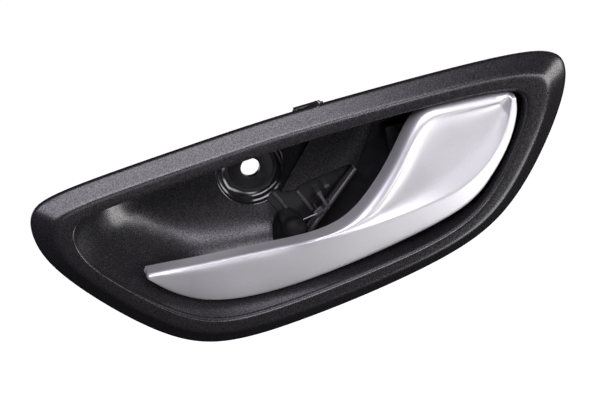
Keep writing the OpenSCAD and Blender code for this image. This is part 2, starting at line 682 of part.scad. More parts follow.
bezel();
carrier();
lever_shell();
lever_core();
pivot_pin();
pin_retainer();
bush(1);  // bush_upper
bush(-1);  // bush_lower
return_spring();
rest_buffer();
open_buffer();
cable_end_bush();
carrier_screw(0);  // carrier_screw_1
carrier_screw(1);  // carrier_screw_2
carrier_screw(2);  // carrier_screw_3
lever_screw(0);  // lever_screw_1
lever_screw(1);  // lever_screw_2
panel_clip(0);  // panel_clip_1
panel_clip(1);  // panel_clip_2
panel_clip(2);  // panel_clip_3
panel_clip(3);  // panel_clip_4
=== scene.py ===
"""Looks of a car interior door handle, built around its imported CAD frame.

The CAD nodes are the fixed frame. The bezel and the painted lever shell are built
again here from the same curves at a finer step, the repeated hardware comes from
geometry nodes, and every other node is dressed with softened edges and its finish.
Sizes are in millimetres on the styling grid, and meshes are made in metres.
"""

import logging
import math
from dataclasses import dataclass
from enum import Enum
from typing import ClassVar

import bmesh
import bpy
import numpy as np
from mathutils import Matrix, Vector
from mathutils.bvhtree import BVHTree


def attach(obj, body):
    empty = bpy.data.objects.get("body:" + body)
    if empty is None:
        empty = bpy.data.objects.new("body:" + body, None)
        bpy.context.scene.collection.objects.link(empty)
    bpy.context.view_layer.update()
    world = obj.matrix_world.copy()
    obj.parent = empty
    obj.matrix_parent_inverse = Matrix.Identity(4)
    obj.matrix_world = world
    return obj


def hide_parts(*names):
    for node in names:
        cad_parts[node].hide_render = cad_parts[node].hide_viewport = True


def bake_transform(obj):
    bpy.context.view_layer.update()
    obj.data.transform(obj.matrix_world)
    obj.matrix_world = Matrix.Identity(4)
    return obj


log = logging.getLogger("door_handle")

MM = 0.001
# From the styling grid, in millimetres, to the part's origin on the screw hole's axis
GRID_SHIFT = np.array([12.2, -20.0, -9.5])
# Where rays start and open cuts end, in front of the whole part, in millimetres
CLEAR_Y = -30.0
# Points round a post, and round a band pulled over circles
POST_STEPS, BAND_STEPS = 40, 64
# The angle above which an edge stays sharp, in degrees
SHARP = 34
# How far apart a CAD copy's and the lever skin's doubled points may be, in metres
CAD_WELD, SKIN_WELD = 2e-6, 1e-7
# Nearly all of a noise lies within the wide pair, and most of it within the narrow one
WIDE, NARROW = (0.3, 0.7), (0.35, 0.65)


class Body(Enum):
    """The two bodies of the joint."""

    HOUSING = "housing"
    LEVER = "lever"


class Cut(Enum):
    """What a boolean does with its tools."""

    JOIN = "UNION"
    REMOVE = "DIFFERENCE"


def to_part(points: np.ndarray) -> np.ndarray:
    """Moves points from the styling grid to the part's frame.

    Args:
        points: rows of x, y, z in millimetres on the styling grid.

    Returns:
        The same rows in metres in the part's frame.
    """
    return (np.asarray(points, float) + GRID_SHIFT) * MM


# ---------------------------------------------------------------- curves


def spline_weights(t: np.ndarray) -> np.ndarray:
    """Gives the four uniform cubic B-spline weights.

    Args:
        t: places along a span, from 0 to 1.

    Returns:
        An array of shape (4, len(t)).
    """
    return np.array([
        (1 - t) ** 3,
        3 * t**3 - 6 * t**2 + 4,
        -3 * t**3 + 3 * t**2 + 3 * t + 1,
        t**3,
    ]) / 6


def loop_curve(control: np.ndarray, u: np.ndarray) -> np.ndarray:
    """Samples a closed B-spline.

    Args:
        control: control points, one to a row.
        u: places round the loop, from 0 to 1.

    Returns:
        One point to a row.
    """
    n = len(control)
    span = np.floor(u * n).astype(int)
    w = spline_weights(u * n - span)
    rows = [control[(span + k) % n] for k in (-1, 0, 1, 2)]
    return sum(w[k][:, None] * rows[k] for k in range(4))


def open_curve(control: np.ndarray, u: np.ndarray) -> np.ndarray:
    """Samples an open B-spline that starts and ends on its control points.

    Args:
        control: control points, one to a row.
        u: places counted in control points.

    Returns:
        One point to a row.
    """
    n = len(control)
    full = np.vstack([2 * control[0] - control[1], control, 2 * control[-1] - control[-2]])
    span = np.minimum(np.floor(u).astype(int), n - 2)
    w = spline_weights(u - span)
    return sum(w[k][:, None] * full[span + k] for k in range(4))


def softened(corners: np.ndarray, share: np.ndarray | float, steps: int,
             radius: float = math.inf) -> np.ndarray:
    """Rounds the corners of a line or an outline with short parabolas.

    Args:
        corners: one point to a row.
        share: how far each rounding reaches along its two sides, at most 0.5, and 0 for a
            corner that stays, such as a line's ends.
        steps: points to a corner.
        radius: the longest that a rounding may be, in the corners' unit.

    Returns:
        The rounded line, steps points to a corner.
    """
    t = np.linspace(0, 1, steps)[None, :, None]
    ends = []
    for side in (1, -1):
        span = np.roll(corners, side, axis=0) - corners
        reach = np.minimum(share, radius / np.linalg.norm(span, axis=1))
        ends.append((corners + span * reach[:, None])[:, None])
    out = (1 - t) ** 2 * ends[0] + 2 * t * (1 - t) * corners[:, None] + t**2 * ends[1]
    return out.reshape(-1, corners.shape[1])


def filleted(corners: np.ndarray, radius: float, steps: int = 6) -> np.ndarray:
    """Rounds a closed outline's corners by a length rather than a share."""
    return softened(corners, 0.45, steps, radius)


def evenly(outline: np.ndarray, step: float) -> np.ndarray:
    """Adds points to a closed outline so that no side is longer than a step.

    Args:
        outline: the closed outline, one point to a row.
        step: the longest side allowed.

    Returns:
        The outline with more points.
    """
    out = []
    for a, b in zip(outline, np.roll(outline, -1, axis=0)):
        count = max(1, int(math.ceil(np.linalg.norm(b - a) / step)))
        out += [a + (b - a) * k / count for k in range(count)]
    return np.array(out)


def outward(outline: np.ndarray) -> np.ndarray:
    """Gives the outward unit normal at each point of a closed plane outline.

    Args:
        outline: the closed outline, one point to a row.

    Returns:
        One unit normal to a row.
    """
    along = np.roll(outline, -1, axis=0) - np.roll(outline, 1, axis=0)
    normal = np.stack([along[:, 1], -along[:, 0]], 1)
    x, z = outline[:, 0], outline[:, 1]
    area = np.sum(x * np.roll(z, -1) - np.roll(x, -1) * z)
    return normal / np.linalg.norm(normal, axis=1, keepdims=True) * np.sign(area)


# ---------------------------------------------------------------- meshes


def linked(name: str, data: bpy.types.ID) -> bpy.types.Object:
    """Makes an object for its data and links it to the scene.

    Args:
        name: the object's name.
        data: its mesh, camera or light.

    Returns:
        The new object.
    """
    obj = bpy.data.objects.new(name, data)
    bpy.context.scene.collection.objects.link(obj)
    return obj


def mesh_object(name: str, points: np.ndarray, faces: list) -> bpy.types.Object:
    """Makes an object from millimetre points on the styling grid, faces turned outwards.

    Args:
        name: the object's name.
        points: one x, y, z to a row.
        faces: lists of point numbers.

    Returns:
        The new object, linked to the scene.
    """
    mesh = bpy.data.meshes.new(name)
    mesh.from_pydata(to_part(points).tolist(), [], faces)
    bm = bmesh.new()
    bm.from_mesh(mesh)
    if bm.calc_volume(signed=True) < 0:
        bmesh.ops.reverse_faces(bm, faces=bm.faces)
        bm.to_mesh(mesh)
    bm.free()
    return linked(name, mesh)


def loft(name: str, rings: list[np.ndarray]) -> bpy.types.Object:
    """Makes a closed solid between a stack of rings with equal numbers of points.

    Args:
        name: the object's name.
        rings: each ring's points in millimetres.

    Returns:
        The new object.
    """
    n, m = len(rings[0]), len(rings)
    k = np.arange(n)
    faces = []
    for j in range(m - 1):
        a, b = j * n + k, j * n + (k + 1) % n
        faces += np.stack([a, a + n, b + n, b], 1).tolist()
    faces.append(list(range(n)))
    faces.append(list(range(m * n - 1, (m - 1) * n - 1, -1)))
    return mesh_object(name, np.vstack(rings), faces)


def at_depth(plan: np.ndarray, y: np.ndarray | float) -> np.ndarray:
    """Stands a plan in X and Z at one depth, or each of its points at its own."""
    return np.stack([plan[:, 0], np.broadcast_to(y, len(plan)), plan[:, 1]], 1)


def stacked(name: str, plans: list[tuple[np.ndarray, np.ndarray | float]]) -> bpy.types.Object:
    """Makes a closed solid from plans in X and Z, each with its depth."""
    return loft(name, [at_depth(plan, y) for plan, y in plans])


def prism(name: str, plan: np.ndarray, front: float, back: float) -> bpy.types.Object:
    """Makes a solid from one plan in X and Z between two depths."""
    return stacked(name, [(plan, front), (plan, back)])


def circle(at: tuple[float, float], radius: float, steps: int) -> np.ndarray:
    """Gives a circle's points in X and Z, in millimetres."""
    a = np.linspace(0, 2 * math.pi, steps, endpoint=False)
    return np.stack([at[0] + radius * np.cos(a), at[1] + radius * np.sin(a)], 1)


def turned(name: str, at: tuple[float, float],
           profile: list[tuple[float, float]]) -> bpy.types.Object:
    """Makes a round post at x and z from the radius and depth of each ring."""
    return stacked(name, [(circle(at, radius, POST_STEPS), y) for radius, y in profile])


def wrapped(circles: list[tuple[float, float, float]]) -> np.ndarray:
    """Gives the outline of a band pulled tight round circles.

    Args:
        circles: x, z and radius of each.

    Returns:
        One point to a row.
    """
    angles = (np.arange(BAND_STEPS) + 0.5) * 2 * math.pi / BAND_STEPS
    way = np.stack([np.cos(angles), np.sin(angles)], 1)
    centres = np.array([c[:2] for c in circles], float)
    radii = np.array([c[2] for c in circles], float)
    pick = (way @ centres.T + radii).argmax(1)
    return centres[pick] + radii[pick, None] * way


def baked(obj: bpy.types.Object) -> bpy.types.Object:
    """Turns an object's modifiers into plain mesh.

    Args:
        obj: the object, whose modifiers are removed.

    Returns:
        The same object.
    """
    graph = bpy.context.evaluated_depsgraph_get()
    graph.update()
    mesh = bpy.data.meshes.new_from_object(obj.evaluated_get(graph))
    mesh.name = obj.name
    obj.modifiers.clear()
    obj.data = mesh
    return obj


def combined(base: bpy.types.Object, tools: list[bpy.types.Object], cut: Cut) -> bpy.types.Object:
    """Runs booleans on a solid and takes the tools away.

    Args:
        base: the solid that is changed.
        tools: the solids used on it.
        cut: what is done with them.

    Returns:
        The changed solid.
    """
    for tool in tools:
        modifier = base.modifiers.new(tool.name, "BOOLEAN")
        modifier.operation = cut.value
        modifier.solver = "MANIFOLD"
        modifier.material_mode = "TRANSFER"
        modifier.object = tool
    baked(base)
    for tool in tools:
        bpy.data.objects.remove(tool)
    return base


def painted(obj: bpy.types.Object, material: bpy.types.Material) -> bpy.types.Object:
    """Gives an object one material all over.

    Args:
        obj: the object.
        material: its only material.

    Returns:
        The same object.
    """
    obj.data.materials.clear()
    obj.data.materials.append(material)
    obj.data.polygons.foreach_set("material_index", np.zeros(len(obj.data.polygons), np.int32))
    return obj


def merged_copy(node: str, name: str) -> bpy.types.Object:
    """Copies a CAD node's mesh with its loose triangles joined up.

    Args:
        node: the CAD node.
        name: the copy's name.

    Returns:
        The copy, at the origin.
    """
    bm = bmesh.new()
    bm.from_mesh(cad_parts[node].data)
    bmesh.ops.remove_doubles(bm, verts=bm.verts, dist=CAD_WELD)
    flat = math.radians(1)
    bmesh.ops.dissolve_limit(bm, angle_limit=flat, verts=bm.verts, edges=bm.edges)
    mesh = bpy.data.meshes.new(name)
    bm.to_mesh(mesh)
    bm.free()
    return linked(name, mesh)


def settled(obj: bpy.types.Object, body: Body | None, node: str | None, slot: str,
            degrees: float = SHARP) -> None:
    """Shades a finished piece, hands it to the frame and reports it.

    Args:
        obj: the piece, in the part's frame.
        body: the body that it rides on, or None to leave it unattached.
        node: the CAD node that it stands for, if any.
        slot: not used.
        degrees: the angle above which an edge stays sharp.
    """
    mesh = obj.data
    mesh.polygons.foreach_set("use_smooth", np.ones(len(mesh.polygons), bool))
    mesh.set_sharp_from_angle(angle=math.radians(degrees))
    mesh.update()
    if body:
        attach(obj, body.value)
    if node:
        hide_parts(node)
    log.info("%s: %d faces", obj.name, len(mesh.polygons))


# ---------------------------------------------------------------- finishes


class Shader:
    """A material being built, with short ways to add and join its nodes."""

    def __init__(self, name: str) -> None:
        """Makes the material with its Principled shader and object coordinates.

        Args:
            name: the material's name.
        """
        self.material = bpy.data.materials.new(name)
        self.material.use_nodes = True
        self.tree = self.material.node_tree
        self.principled = self.tree.nodes["Principled BSDF"]
        self.coords = self.add("ShaderNodeTexCoord").outputs["Object"]

    def add(self, kind: str, **values: object) -> bpy.types.Node:
        """Adds a node.

        Args:
            kind: the node's type.
            values: properties to set on it.

        Returns:
            The node.
        """
        node = self.tree.nodes.new(kind)
        for key, value in values.items():
            setattr(node, key, value)
        return node

    def join(self, source: bpy.types.NodeSocket, target: bpy.types.NodeSocket) -> None:
        """Links two sockets."""
        self.tree.links.new(source, target)

    def set(self, **values: object) -> None:
        """Sets the Principled shader's own sockets, with _ for a space."""
        for key, value in values.items():
            self.principled.inputs[key.replace("_", " ")].default_value = value

    def noise(self, scale: float, detail: float = 2, rough: float = 0.5) -> bpy.types.NodeSocket:
        """Adds a noise texture on object coordinates.

        Args:
            scale: how many features to a metre.
            detail: its octaves.
            rough: how strong the finer octaves are.

        Returns:
            The factor output.
        """
        node = self.add("ShaderNodeTexNoise")
        node.inputs["Scale"].default_value = scale
        node.inputs["Detail"].default_value = detail
        node.inputs["Roughness"].default_value = rough
        self.join(self.coords, node.inputs["Vector"])
        return node.outputs["Fac"]

    def cells(self, scale: float) -> bpy.types.NodeSocket:
        """Adds soft Voronoi cells on object coordinates.

        Args:
            scale: how many cells to a metre.

        Returns:
            The distance output.
        """
        node = self.add("ShaderNodeTexVoronoi", feature="SMOOTH_F1")
        node.inputs["Scale"].default_value = scale
        self.join(self.coords, node.inputs["Vector"])
        return node.outputs["Distance"]

    def ranged(self, value: bpy.types.NodeSocket, low: float, high: float,
               start: float, end: float) -> bpy.types.NodeSocket:
        """Maps a value from one range to another, and keeps it there.

        Args:
            value: the socket to read.
            low: the result at start.
            high: the result at end.
            start: the value that gives low.
            end: the value that gives high.

        Returns:
            The mapped output.
        """
        node = self.add("ShaderNodeMapRange")
        numbers = {"From Min": start, "From Max": end, "To Min": low, "To Max": high}
        for key, number in numbers.items():
            node.inputs[key].default_value = number
        self.join(value, node.inputs["Value"])
        return node.outputs["Result"]

    def blend(self, factor: bpy.types.NodeSocket, first: tuple,
              second: tuple) -> bpy.types.NodeSocket:
        """Mixes two colours.

        Args:
            factor: 0 for the first, 1 for the second.
            first: red, green, blue.
            second: red, green, blue.

        Returns:
            The colour output.
        """
        node = self.add("ShaderNodeMix", data_type="RGBA")
        named = {(socket.name, socket.type): socket for socket in node.inputs}
        named["A", "RGBA"].default_value = (*first, 1)
        named["B", "RGBA"].default_value = (*second, 1)
        self.join(factor, named["Factor", "VALUE"])
        return next(s for s in node.outputs if s.type == "RGBA")

    def bump(self, height: bpy.types.NodeSocket, distance: float, strength: float,
             after: bpy.types.NodeSocket | None = None) -> bpy.types.NodeSocket:
        """Adds a bump.

        Args:
            height: the height to read.
            distance: its full height in metres.
            strength: how much of it shows.
            after: the normal that it adds to.

        Returns:
            The normal output.
        """
        node = self.add("ShaderNodeBump")
        node.inputs["Strength"].default_value = strength
        node.inputs["Distance"].default_value = distance
        self.join(height, node.inputs["Height"])
        if after is not None:
            self.join(after, node.inputs["Normal"])
        return node.outputs["Normal"]

    def use(self, socket: str, value: bpy.types.NodeSocket) -> None:
        """Links a value to one of the Principled shader's sockets."""
        self.join(value, self.principled.inputs[socket])


@dataclass(frozen=True)
class GrainedPlastic:
    """Moulded black plastic with a spark-eroded grain of small pits, its raised tops painted
    lighter as a painted sheen.
    """

    name: str = "grained_black_plastic"
    dark: tuple = (0.009, 0.0085, 0.0095)
    # The lighter colour, laid on the grain's raised tops: partly random grain tone, partly painted
    # sheen
    light: tuple = (0.022, 0.021, 0.0235)
    roughness: tuple[float, float] = (0.21, 0.3)
    shine: tuple[float, float] = (0.38, 0.82)
    grain_per_m: float = 2300
    grain_height: float = 0.000006

    def material(self) -> bpy.types.Material:
        """Builds the material.

        Returns:
            The material, with its pits under its fine grain.
        """
        s = Shader(self.name)
        fine = s.noise(self.grain_per_m, 2, 0.6)
        # Colour follows the grain's height: random grain tone, with the raised tops painted
        # lighter as a painted sheen
        s.use("Base Color", s.blend(s.ranged(fine, 0, 1, 0.36, 0.66), self.dark, self.light))
        sheen = s.noise(self.grain_per_m * 0.8, 2)
        s.use("Roughness", s.ranged(sheen, *self.roughness, *NARROW))
        s.use("Specular IOR Level", s.ranged(fine, *self.shine, *NARROW))
        pits = s.bump(s.cells(self.grain_per_m), self.grain_height * 0.7, 0.8)
        s.use("Normal", s.bump(fine, self.grain_height, 0.9, pits))
        return s.material


@dataclass(frozen=True)
class SatinPaint:
    """Satin silver paint with fine metal flake over moulded plastic."""

    name: str = "satin_silver_paint"
    dark: tuple = (0.65, 0.65, 0.665)
    light: tuple = (0.73, 0.73, 0.745)
    roughness: tuple[float, float] = (0.4, 0.47)
    flake_per_m: float = 5200
    flake_height: float = 0.000012
    sweep_per_m: float = 60
    metallic: float = 0.7
    coat: float = 0.15
    coat_roughness: float = 0.3

    def material(self) -> bpy.types.Material:
        """Builds the material.

        Returns:
            The material, its flake in colour and bump, its gloss in wide sweeps.
        """
        s = Shader(self.name)
        flake = s.noise(self.flake_per_m, 1)
        sweep = s.noise(self.sweep_per_m, 2)
        s.use("Base Color", s.blend(s.ranged(flake, 0, 1, *WIDE), self.dark, self.light))
        s.use("Roughness", s.ranged(sweep, *self.roughness, *WIDE))
        s.use("Normal", s.bump(flake, self.flake_height, 0.35))
        s.set(Metallic=self.metallic, Coat_Weight=self.coat, Coat_Roughness=self.coat_roughness)
        return s.material


@dataclass(frozen=True)
class Finish:
    """A surface whose colour and gloss drift a little, over a faint ripple."""

    name: str
    color: tuple
    shade: tuple
    roughness: tuple[float, float] = (0.4, 0.55)
    drift_per_m: float = 240
    drift_octaves: float = 3
    drift_span: tuple[float, float] = NARROW
    ripple_per_m: float = 1500
    ripple_height: float = 0.00003
    ripple_strength: float = 0.4
    shine: float = 0.5
    metallic: float = 0

    def material(self) -> bpy.types.Material:
        """Builds the material.

        Returns:
            The material, its colour and roughness led by one drift.
        """
        s = Shader(self.name)
        drift = s.noise(self.drift_per_m, self.drift_octaves)
        mix = s.ranged(drift, 0, 1, *self.drift_span)
        s.use("Base Color", s.blend(mix, self.color, self.shade))
        s.use("Roughness", s.ranged(drift, *self.roughness, *WIDE))
        ripple = s.noise(self.ripple_per_m, 2)
        s.use("Normal", s.bump(ripple, self.ripple_height, self.ripple_strength))
        s.set(Specular_IOR_Level=self.shine, Metallic=self.metallic)
        return s.material


@dataclass(frozen=True)
class SoftPlastic(Finish):
    """Matt moulded plastic or rubber without grain."""


@dataclass(frozen=True)
class GlossPlastic(Finish):
    """Smooth moulded black plastic with faint flow marks."""

    name: str = "gloss_black_plastic"
    color: tuple = (0.007, 0.007, 0.008)
    shade: tuple = (0.011, 0.011, 0.012)
    roughness: tuple[float, float] = (0.12, 0.24)
    drift_per_m: float = 90
    drift_octaves: float = 4
    drift_span: tuple[float, float] = (0, 1)
    ripple_per_m: float = 160
    ripple_height: float = 0.00008
    ripple_strength: float = 0.35
    shine: float = 0.16


@dataclass(frozen=True)
class Metal(Finish):
    """Small steel hardware, turned, drawn or pressed."""

    color: tuple = (0.5, 0.5, 0.52)
    shade: tuple = (0.38, 0.38, 0.4)
    roughness: tuple[float, float] = (0.25, 0.42)
    drift_per_m: float = 700
    ripple_per_m: float = 2600
    ripple_height: float = 0.00001
    ripple_strength: float = 0.5
    metallic: float = 1


class Palette:
    """Every finish on the handle, made once and named for where it goes."""

    def __init__(self) -> None:
        """Makes the materials."""
        self.bezel = GrainedPlastic().material()
        self.gloss = GlossPlastic().material()
        self.pocket = GlossPlastic(
            "pocket_black_plastic", roughness=(0.1, 0.18), shine=0.7).material()
        self.paint = SatinPaint().material()
        self.core = SoftPlastic(
            "core_black_plastic", (0.02, 0.02, 0.022), (0.03, 0.03, 0.032)).material()
        self.acetal = SoftPlastic(
            "natural_acetal", (0.75, 0.72, 0.62), (0.68, 0.65, 0.55), (0.3, 0.4)).material()
        self.rubber = SoftPlastic(
            "buffer_rubber", (0.006, 0.006, 0.006), (0.01, 0.01, 0.01), shine=0.07).material()
        self.carrier = SoftPlastic(
            "carrier_black_plastic", (0.013, 0.013, 0.014), (0.019, 0.019, 0.02),
            (0.32, 0.44), shine=0.2).material()
        self.back = SoftPlastic(
            "back_black_plastic", (0.016, 0.016, 0.017), (0.024, 0.024, 0.025),
            (0.3, 0.42)).material()
        # A mid grey far lighter than the black plastic it stands for: a painted highlight on the
        # bulkhead's edge and painted glints on the window's arm and ribs
        self.painted_highlight_grey = SoftPlastic(
            "painted_highlight_grey_plastic", (0.045, 0.043, 0.046), (0.065, 0.062, 0.066),
            (0.25, 0.35), shine=0.7).material()
        self.pin = Metal("ground_pin_steel").material()
        self.spring = Metal(
            "oiled_spring_wire", (0.32, 0.32, 0.34), (0.22, 0.22, 0.23)).material()
        self.screw = Metal(
            "plated_screw_steel", (0.62, 0.63, 0.66), (0.5, 0.51, 0.54)).material()
        self.clip = Metal(
            "blackened_clip_sheet", (0.06, 0.06, 0.063), (0.035, 0.035, 0.037),
            (0.4, 0.55)).material()


# ---------------------------------------------------------------- bezel


# Control points round the bezel, in millimetres on the styling grid: x and z of the outer
# edge, how far the lip is pushed out there, and x and z of the scoop's floor
OUTLINE = np.array([
    [-95.5, 16, 0, -50, 11], [-94, 26.5, 0, -55, 17], [-82, 29.5, 0, -52, 18],
    [-60, 31, 0, -42, 19], [-30, 32.5, 0, -25, 20], [0, 33.7, 0, 0, 21.3],
    [35, 33.2, 0.5, 30, 21.8], [70, 32.3, 0.8, 60, 21.2], [97.5, 30.3, 0.4, 81, 20.3],
    [107, 25, 0.5, 87.4, 17.2], [104.5, 11.5, 0.3, 86, 7.5], [91.5, -9, 0.8, 76, -8],
    [76.5, -26, 2, 64.2, -20.8], [58.5, -36.5, 0.5, 46, -26], [25, -42.7, -0.5, 18, -26],
    [-10, -46, -0.1, -8, -3], [-41, -46.5, 0.3, -30, 1], [-60, -36, 0.2, -41, 3],
    [-80, -14, -0.8, -47, 6], [-92.5, 4, -0.6, -50, 9],
])


@dataclass
class Bezel:
    """The moulded trim bezel: rim, lip, scoop, screw pocket, window and lever well."""

    rim_left: float = 13.2
    rim_right: float = 17.6
    rim_top: float = 10
    rim_bottom: float = 10.3
    edge_h: float = 1.4
    lip_h: float = 6.4
    lip_foot: float = 2
    wall: float = 2.4
    wall_t: float = 1.07
    scoop_d: float = 17
    scoop_curve: float = 2.4
    seat_y: float = 20
    screw_at: tuple[float, float] = (-12.2, 9.5)
    pocket_r: float = 13
    pocket_top: float = 9
    step_d: float = 1.3
    well_y: float = -1.4
    well_round: float = 2.2
    window_y: float = 2
    collar: float = 1.6
    tower_r: float = 3.3
    pilot_r: float = 1.5
    locator_r: float = 2
    tongue_half: float = 1.3
    tongue_wide: float = 5.5
    tongue_tip: float = 11.6
    hook_half: float = 6
    hook_z: float = 18.7
    bulkhead_r: float = 0.8
    step_round: float = 0.4
    window_round: float = 1.0
    tongue_round: float = 0.3
    step_edge: float = 0.25
    pocket_edge: float = 0.6
    window_edge: float = 0.4
    well_edge: float = 0.5
    cut_spacing: float = 0.4
    collar_spacing: float = 0.8
    around: int = 400
    plan_steps: int = 200
    per_corner: int = 7
    scoop_rings: int = 64
    back_steps: int = 20
    trim_steps: int = 24

    window: ClassVar[np.ndarray] = np.array([
        [-9.6, -3.4], [-5.5, -0.4], [-3.6, -2.4], [1, -3], [4, -1.6], [12, -0.6], [23, 0.6],
        [24.2, -0.2], [-0.2, -19.5], [-2, -21], [-11.5, -20], [-9.5, -13], [-6.8, -9.2],
    ])
    well: ClassVar[np.ndarray] = np.array([
        [1.2, -21.4], [25.4, -2.2], [36, 14], [42, 18.5], [49, 22.9], [58, 22.9], [70, 22.1],
        [80, 21.3], [86.6, 19], [87.6, 11], [82.4, -2.6], [75.4, -12.2], [66.4, -20.6], [46, -24],
        [26, -23.5],
    ])
    step: ClassVar[np.ndarray] = np.array([
        [-10, 18.2], [-10, 0], [-5.6, -2.6], [-4.2, -2.2], [14.4, 18.2],
    ])
    bulkhead: ClassVar[tuple] = ((0.5, -20.5, 12.0), (24.7, -1.3, 15.0))
    towers: ClassVar[tuple] = ((-14, -37), (88, -3), (34, -35))
    clips: ClassVar[tuple] = ((12, 28.4, 90), (-26, -40.6, 270), (-87.5, 14.5, 180), (97, 14, 330))
    locators: ClassVar[tuple] = ((-82, 6), (58, -29.5))
    hooks: ClassVar[tuple] = (12, 32)
    block: ClassVar[tuple] = ((7.6, 30.4, 1.0), (14, 31.9, 1.7))
    block_sides: ClassVar[tuple] = (
        (0.75, -2.0), (0.4, -1.8), (0.15, -1.45), (0.0, -1.0), (0.0, 3.4), (0.3, 3.8))
    bowl: ClassVar[tuple] = (
        (0, 17.75), (0.2, 18.1), (0.5, 18.35), (0.95, 18.5), (1.15, 18.75), (1.7, 19.3),
        (2.4, 19.75), (3.3, 20.0))

    def __post_init__(self) -> None:
        """Works out the control loops of the outer edge, the lip and the scoop's floor."""
        self.outer = OUTLINE[:, :2]
        box = loop_curve(self.outer, np.arange(self.plan_steps) / self.plan_steps)
        lo, hi = box.min(0), box.max(0)
        inner_lo = lo + (self.rim_left, self.rim_bottom)
        inner_hi = hi - (self.rim_right, self.rim_top)
        middle = (inner_lo + inner_hi) / 2
        lip = middle + (self.outer - (lo + hi) / 2) * (inner_hi - inner_lo) / (hi - lo)
        away = lip - middle
        self.lip = lip + OUTLINE[:, 2:3] * away / np.linalg.norm(away, axis=1, keepdims=True)
        self.floor = OUTLINE[:, 3:5]
        self.share = self.wall / self.rim_top
        self.places = np.arange(self.around) / self.around

    def ring(self, t: float, s: float, y: float) -> np.ndarray:
        """Gives a ring of the bezel's skin.

        Args:
            t: 0 at the outer edge, 1 at the lip.
            s: 0 at the lip, 1 at the scoop's floor.
            y: the depth in millimetres.

        Returns:
            One x, y, z to a row.
        """
        control = (self.outer + t * (self.lip - self.outer)) * (1 - s) + s * self.floor
        return at_depth(loop_curve(control, self.places), y)

    def scoop_y(self, s: float) -> float:
        """Gives the depth of the scoop's face at s."""
        start = self.lip_foot - self.lip_h
        return start + (self.scoop_d - start) * (1 - (1 - s) ** self.scoop_curve)

    def scoop_inner(self, s: float, wall: float) -> float:
        """Gives the depth of a surface that comes to lie a wall behind the scoop's face."""
        return self.scoop_y(s) + wall * min(1, 1.4 * s)

    def front_rings(self) -> list[np.ndarray]:
        """Lofts the front skin from the scoop's floor out to the rim's outer edge.

        Returns:
            The skin's rings in order.
        """
        down = np.linspace(1, 0, self.scoop_rings)[:-1] ** 1.5
        scoop = [self.ring(self.wall_t, s, self.scoop_y(s)) for s in down]
        crest = -self.lip_h
        profile = np.array([
            [self.wall_t, self.scoop_y(0)], [1.045, crest * 0.85], [1.0, crest * 0.975],
            [0.95, crest], [0.76, crest * 0.985], [0.62, crest * 0.97], [0.51, crest * 0.915],
            [0.4, crest * 0.765], [0.25, crest * 0.56], [0.035, -self.edge_h - 0.4],
            [0.0, -self.edge_h + 0.3], [0.0, 0.0],
        ])
        reach = np.array([0, 0.5, 0.5, 0.5, 0.5, 0.5, 0.5, 0.5, 0.5, 0.4, 0.35, 0])
        line = softened(profile, reach, self.per_corner)
        apart = np.linalg.norm(np.diff(line, axis=0), axis=1) > 1e-6
        return scoop + [self.ring(t, 0, y) for t, y in line[np.append(True, apart)]]

    def back_rings(self) -> list[np.ndarray]:
        """Lofts the back skin from the rim's outer edge in to the scoop's floor.

        Returns:
            The skin's rings in order.
        """
        foot = self.wall_t - self.share
        rim = [(self.share * 0.7, 0.0), (self.share * 0.75, self.wall - self.edge_h - 1.3),
               (0.5, self.wall - 0.86 * self.lip_h), (foot, self.wall - self.lip_h)]
        return [self.ring(t, 0, y) for t, y in rim] + [
            self.ring(foot, s, self.scoop_inner(s, self.wall))
            for s in np.linspace(0, 1, self.back_steps)[1:]]

    def trim_rings(self) -> list[np.ndarray]:
        """Lofts the space in front of the middle of the wall, which trims what stands behind.

        Returns:
            The space's rings, from well in front of the rim in to the scoop's floor.
        """
        edge, half_t, half = self.share * 0.3, self.share / 2, self.wall / 2
        rim = [(0.46, 0.84), (0.53, 0.93), (0.6, 0.97), (0.92, 1), (0.98, 0.97), (1.04, 0.86)]
        rings = [self.ring(edge, 0, CLEAR_Y - 10), self.ring(edge, 0, 1 - self.edge_h)]
        rings += [self.ring(t - half_t, 0, half - h * self.lip_h) for t, h in rim]
        rings += [self.ring(self.wall_t - half_t, s, self.scoop_inner(s, half))
                  for s in np.linspace(0, 1, self.trim_steps)]
        return rings

    def skin_depth(self, plan: np.ndarray) -> np.ndarray:
        """Finds how deep the front skin is at points of the plan.

        Args:
            plan: x and z in millimetres, one to a row.

        Returns:
            The depth in millimetres at each.
        """
        out = []
        for x, z in plan:
            start = Vector(to_part(np.array([x, CLEAR_Y, z])))
            hit = self.tree.ray_cast(start, Vector((0, 1, 0)))[0]
            out.append(self.scoop_d if hit is None else hit.y / MM - GRID_SHIFT[1])
        return np.array(out)

    def flared(self, name: str, plan: np.ndarray, radius: float,
               foot: list[tuple[np.ndarray, float]], start: float = CLEAR_Y) -> bpy.types.Object:
        """Makes a cutter whose mouth is flared, so that the cut's edge is rounded.

        Args:
            name: the cutter's name.
            plan: the cut's outline in X and Z.
            radius: the rounding's radius in millimetres.
            foot: outlines and depths that follow the mouth.
            start: the least depth that the cut may reach.

        Returns:
            The cutter.
        """
        normal = outward(plan)
        depth = self.skin_depth(plan + normal * radius)
        reach = radius * np.clip(depth - start - 0.4, 0, 1)
        mouth = []
        for k, angle in enumerate(np.radians([0, 14, 30, 48, 68, 90])):
            off = plan + normal * (reach * (1 - math.sin(angle)))[:, None]
            y = depth + reach * (1 - math.cos(angle)) if k else depth - 6
            mouth.append((off, np.maximum(y, start + 0.01 * k)))
        return stacked(name, mouth + foot)

    def pocket_plan(self, radius: float, grow: float = 0) -> np.ndarray:
        """Gives a circle round the screw hole, cut off straight under the lip.

        Args:
            radius: the circle's radius.
            grow: how far the outline is moved outwards.

        Returns:
            Its points in X and Z.
        """
        points = circle(self.screw_at, radius + grow, self.plan_steps)
        points[:, 1] = np.minimum(points[:, 1], self.screw_at[1] + self.pocket_top + grow)
        return points

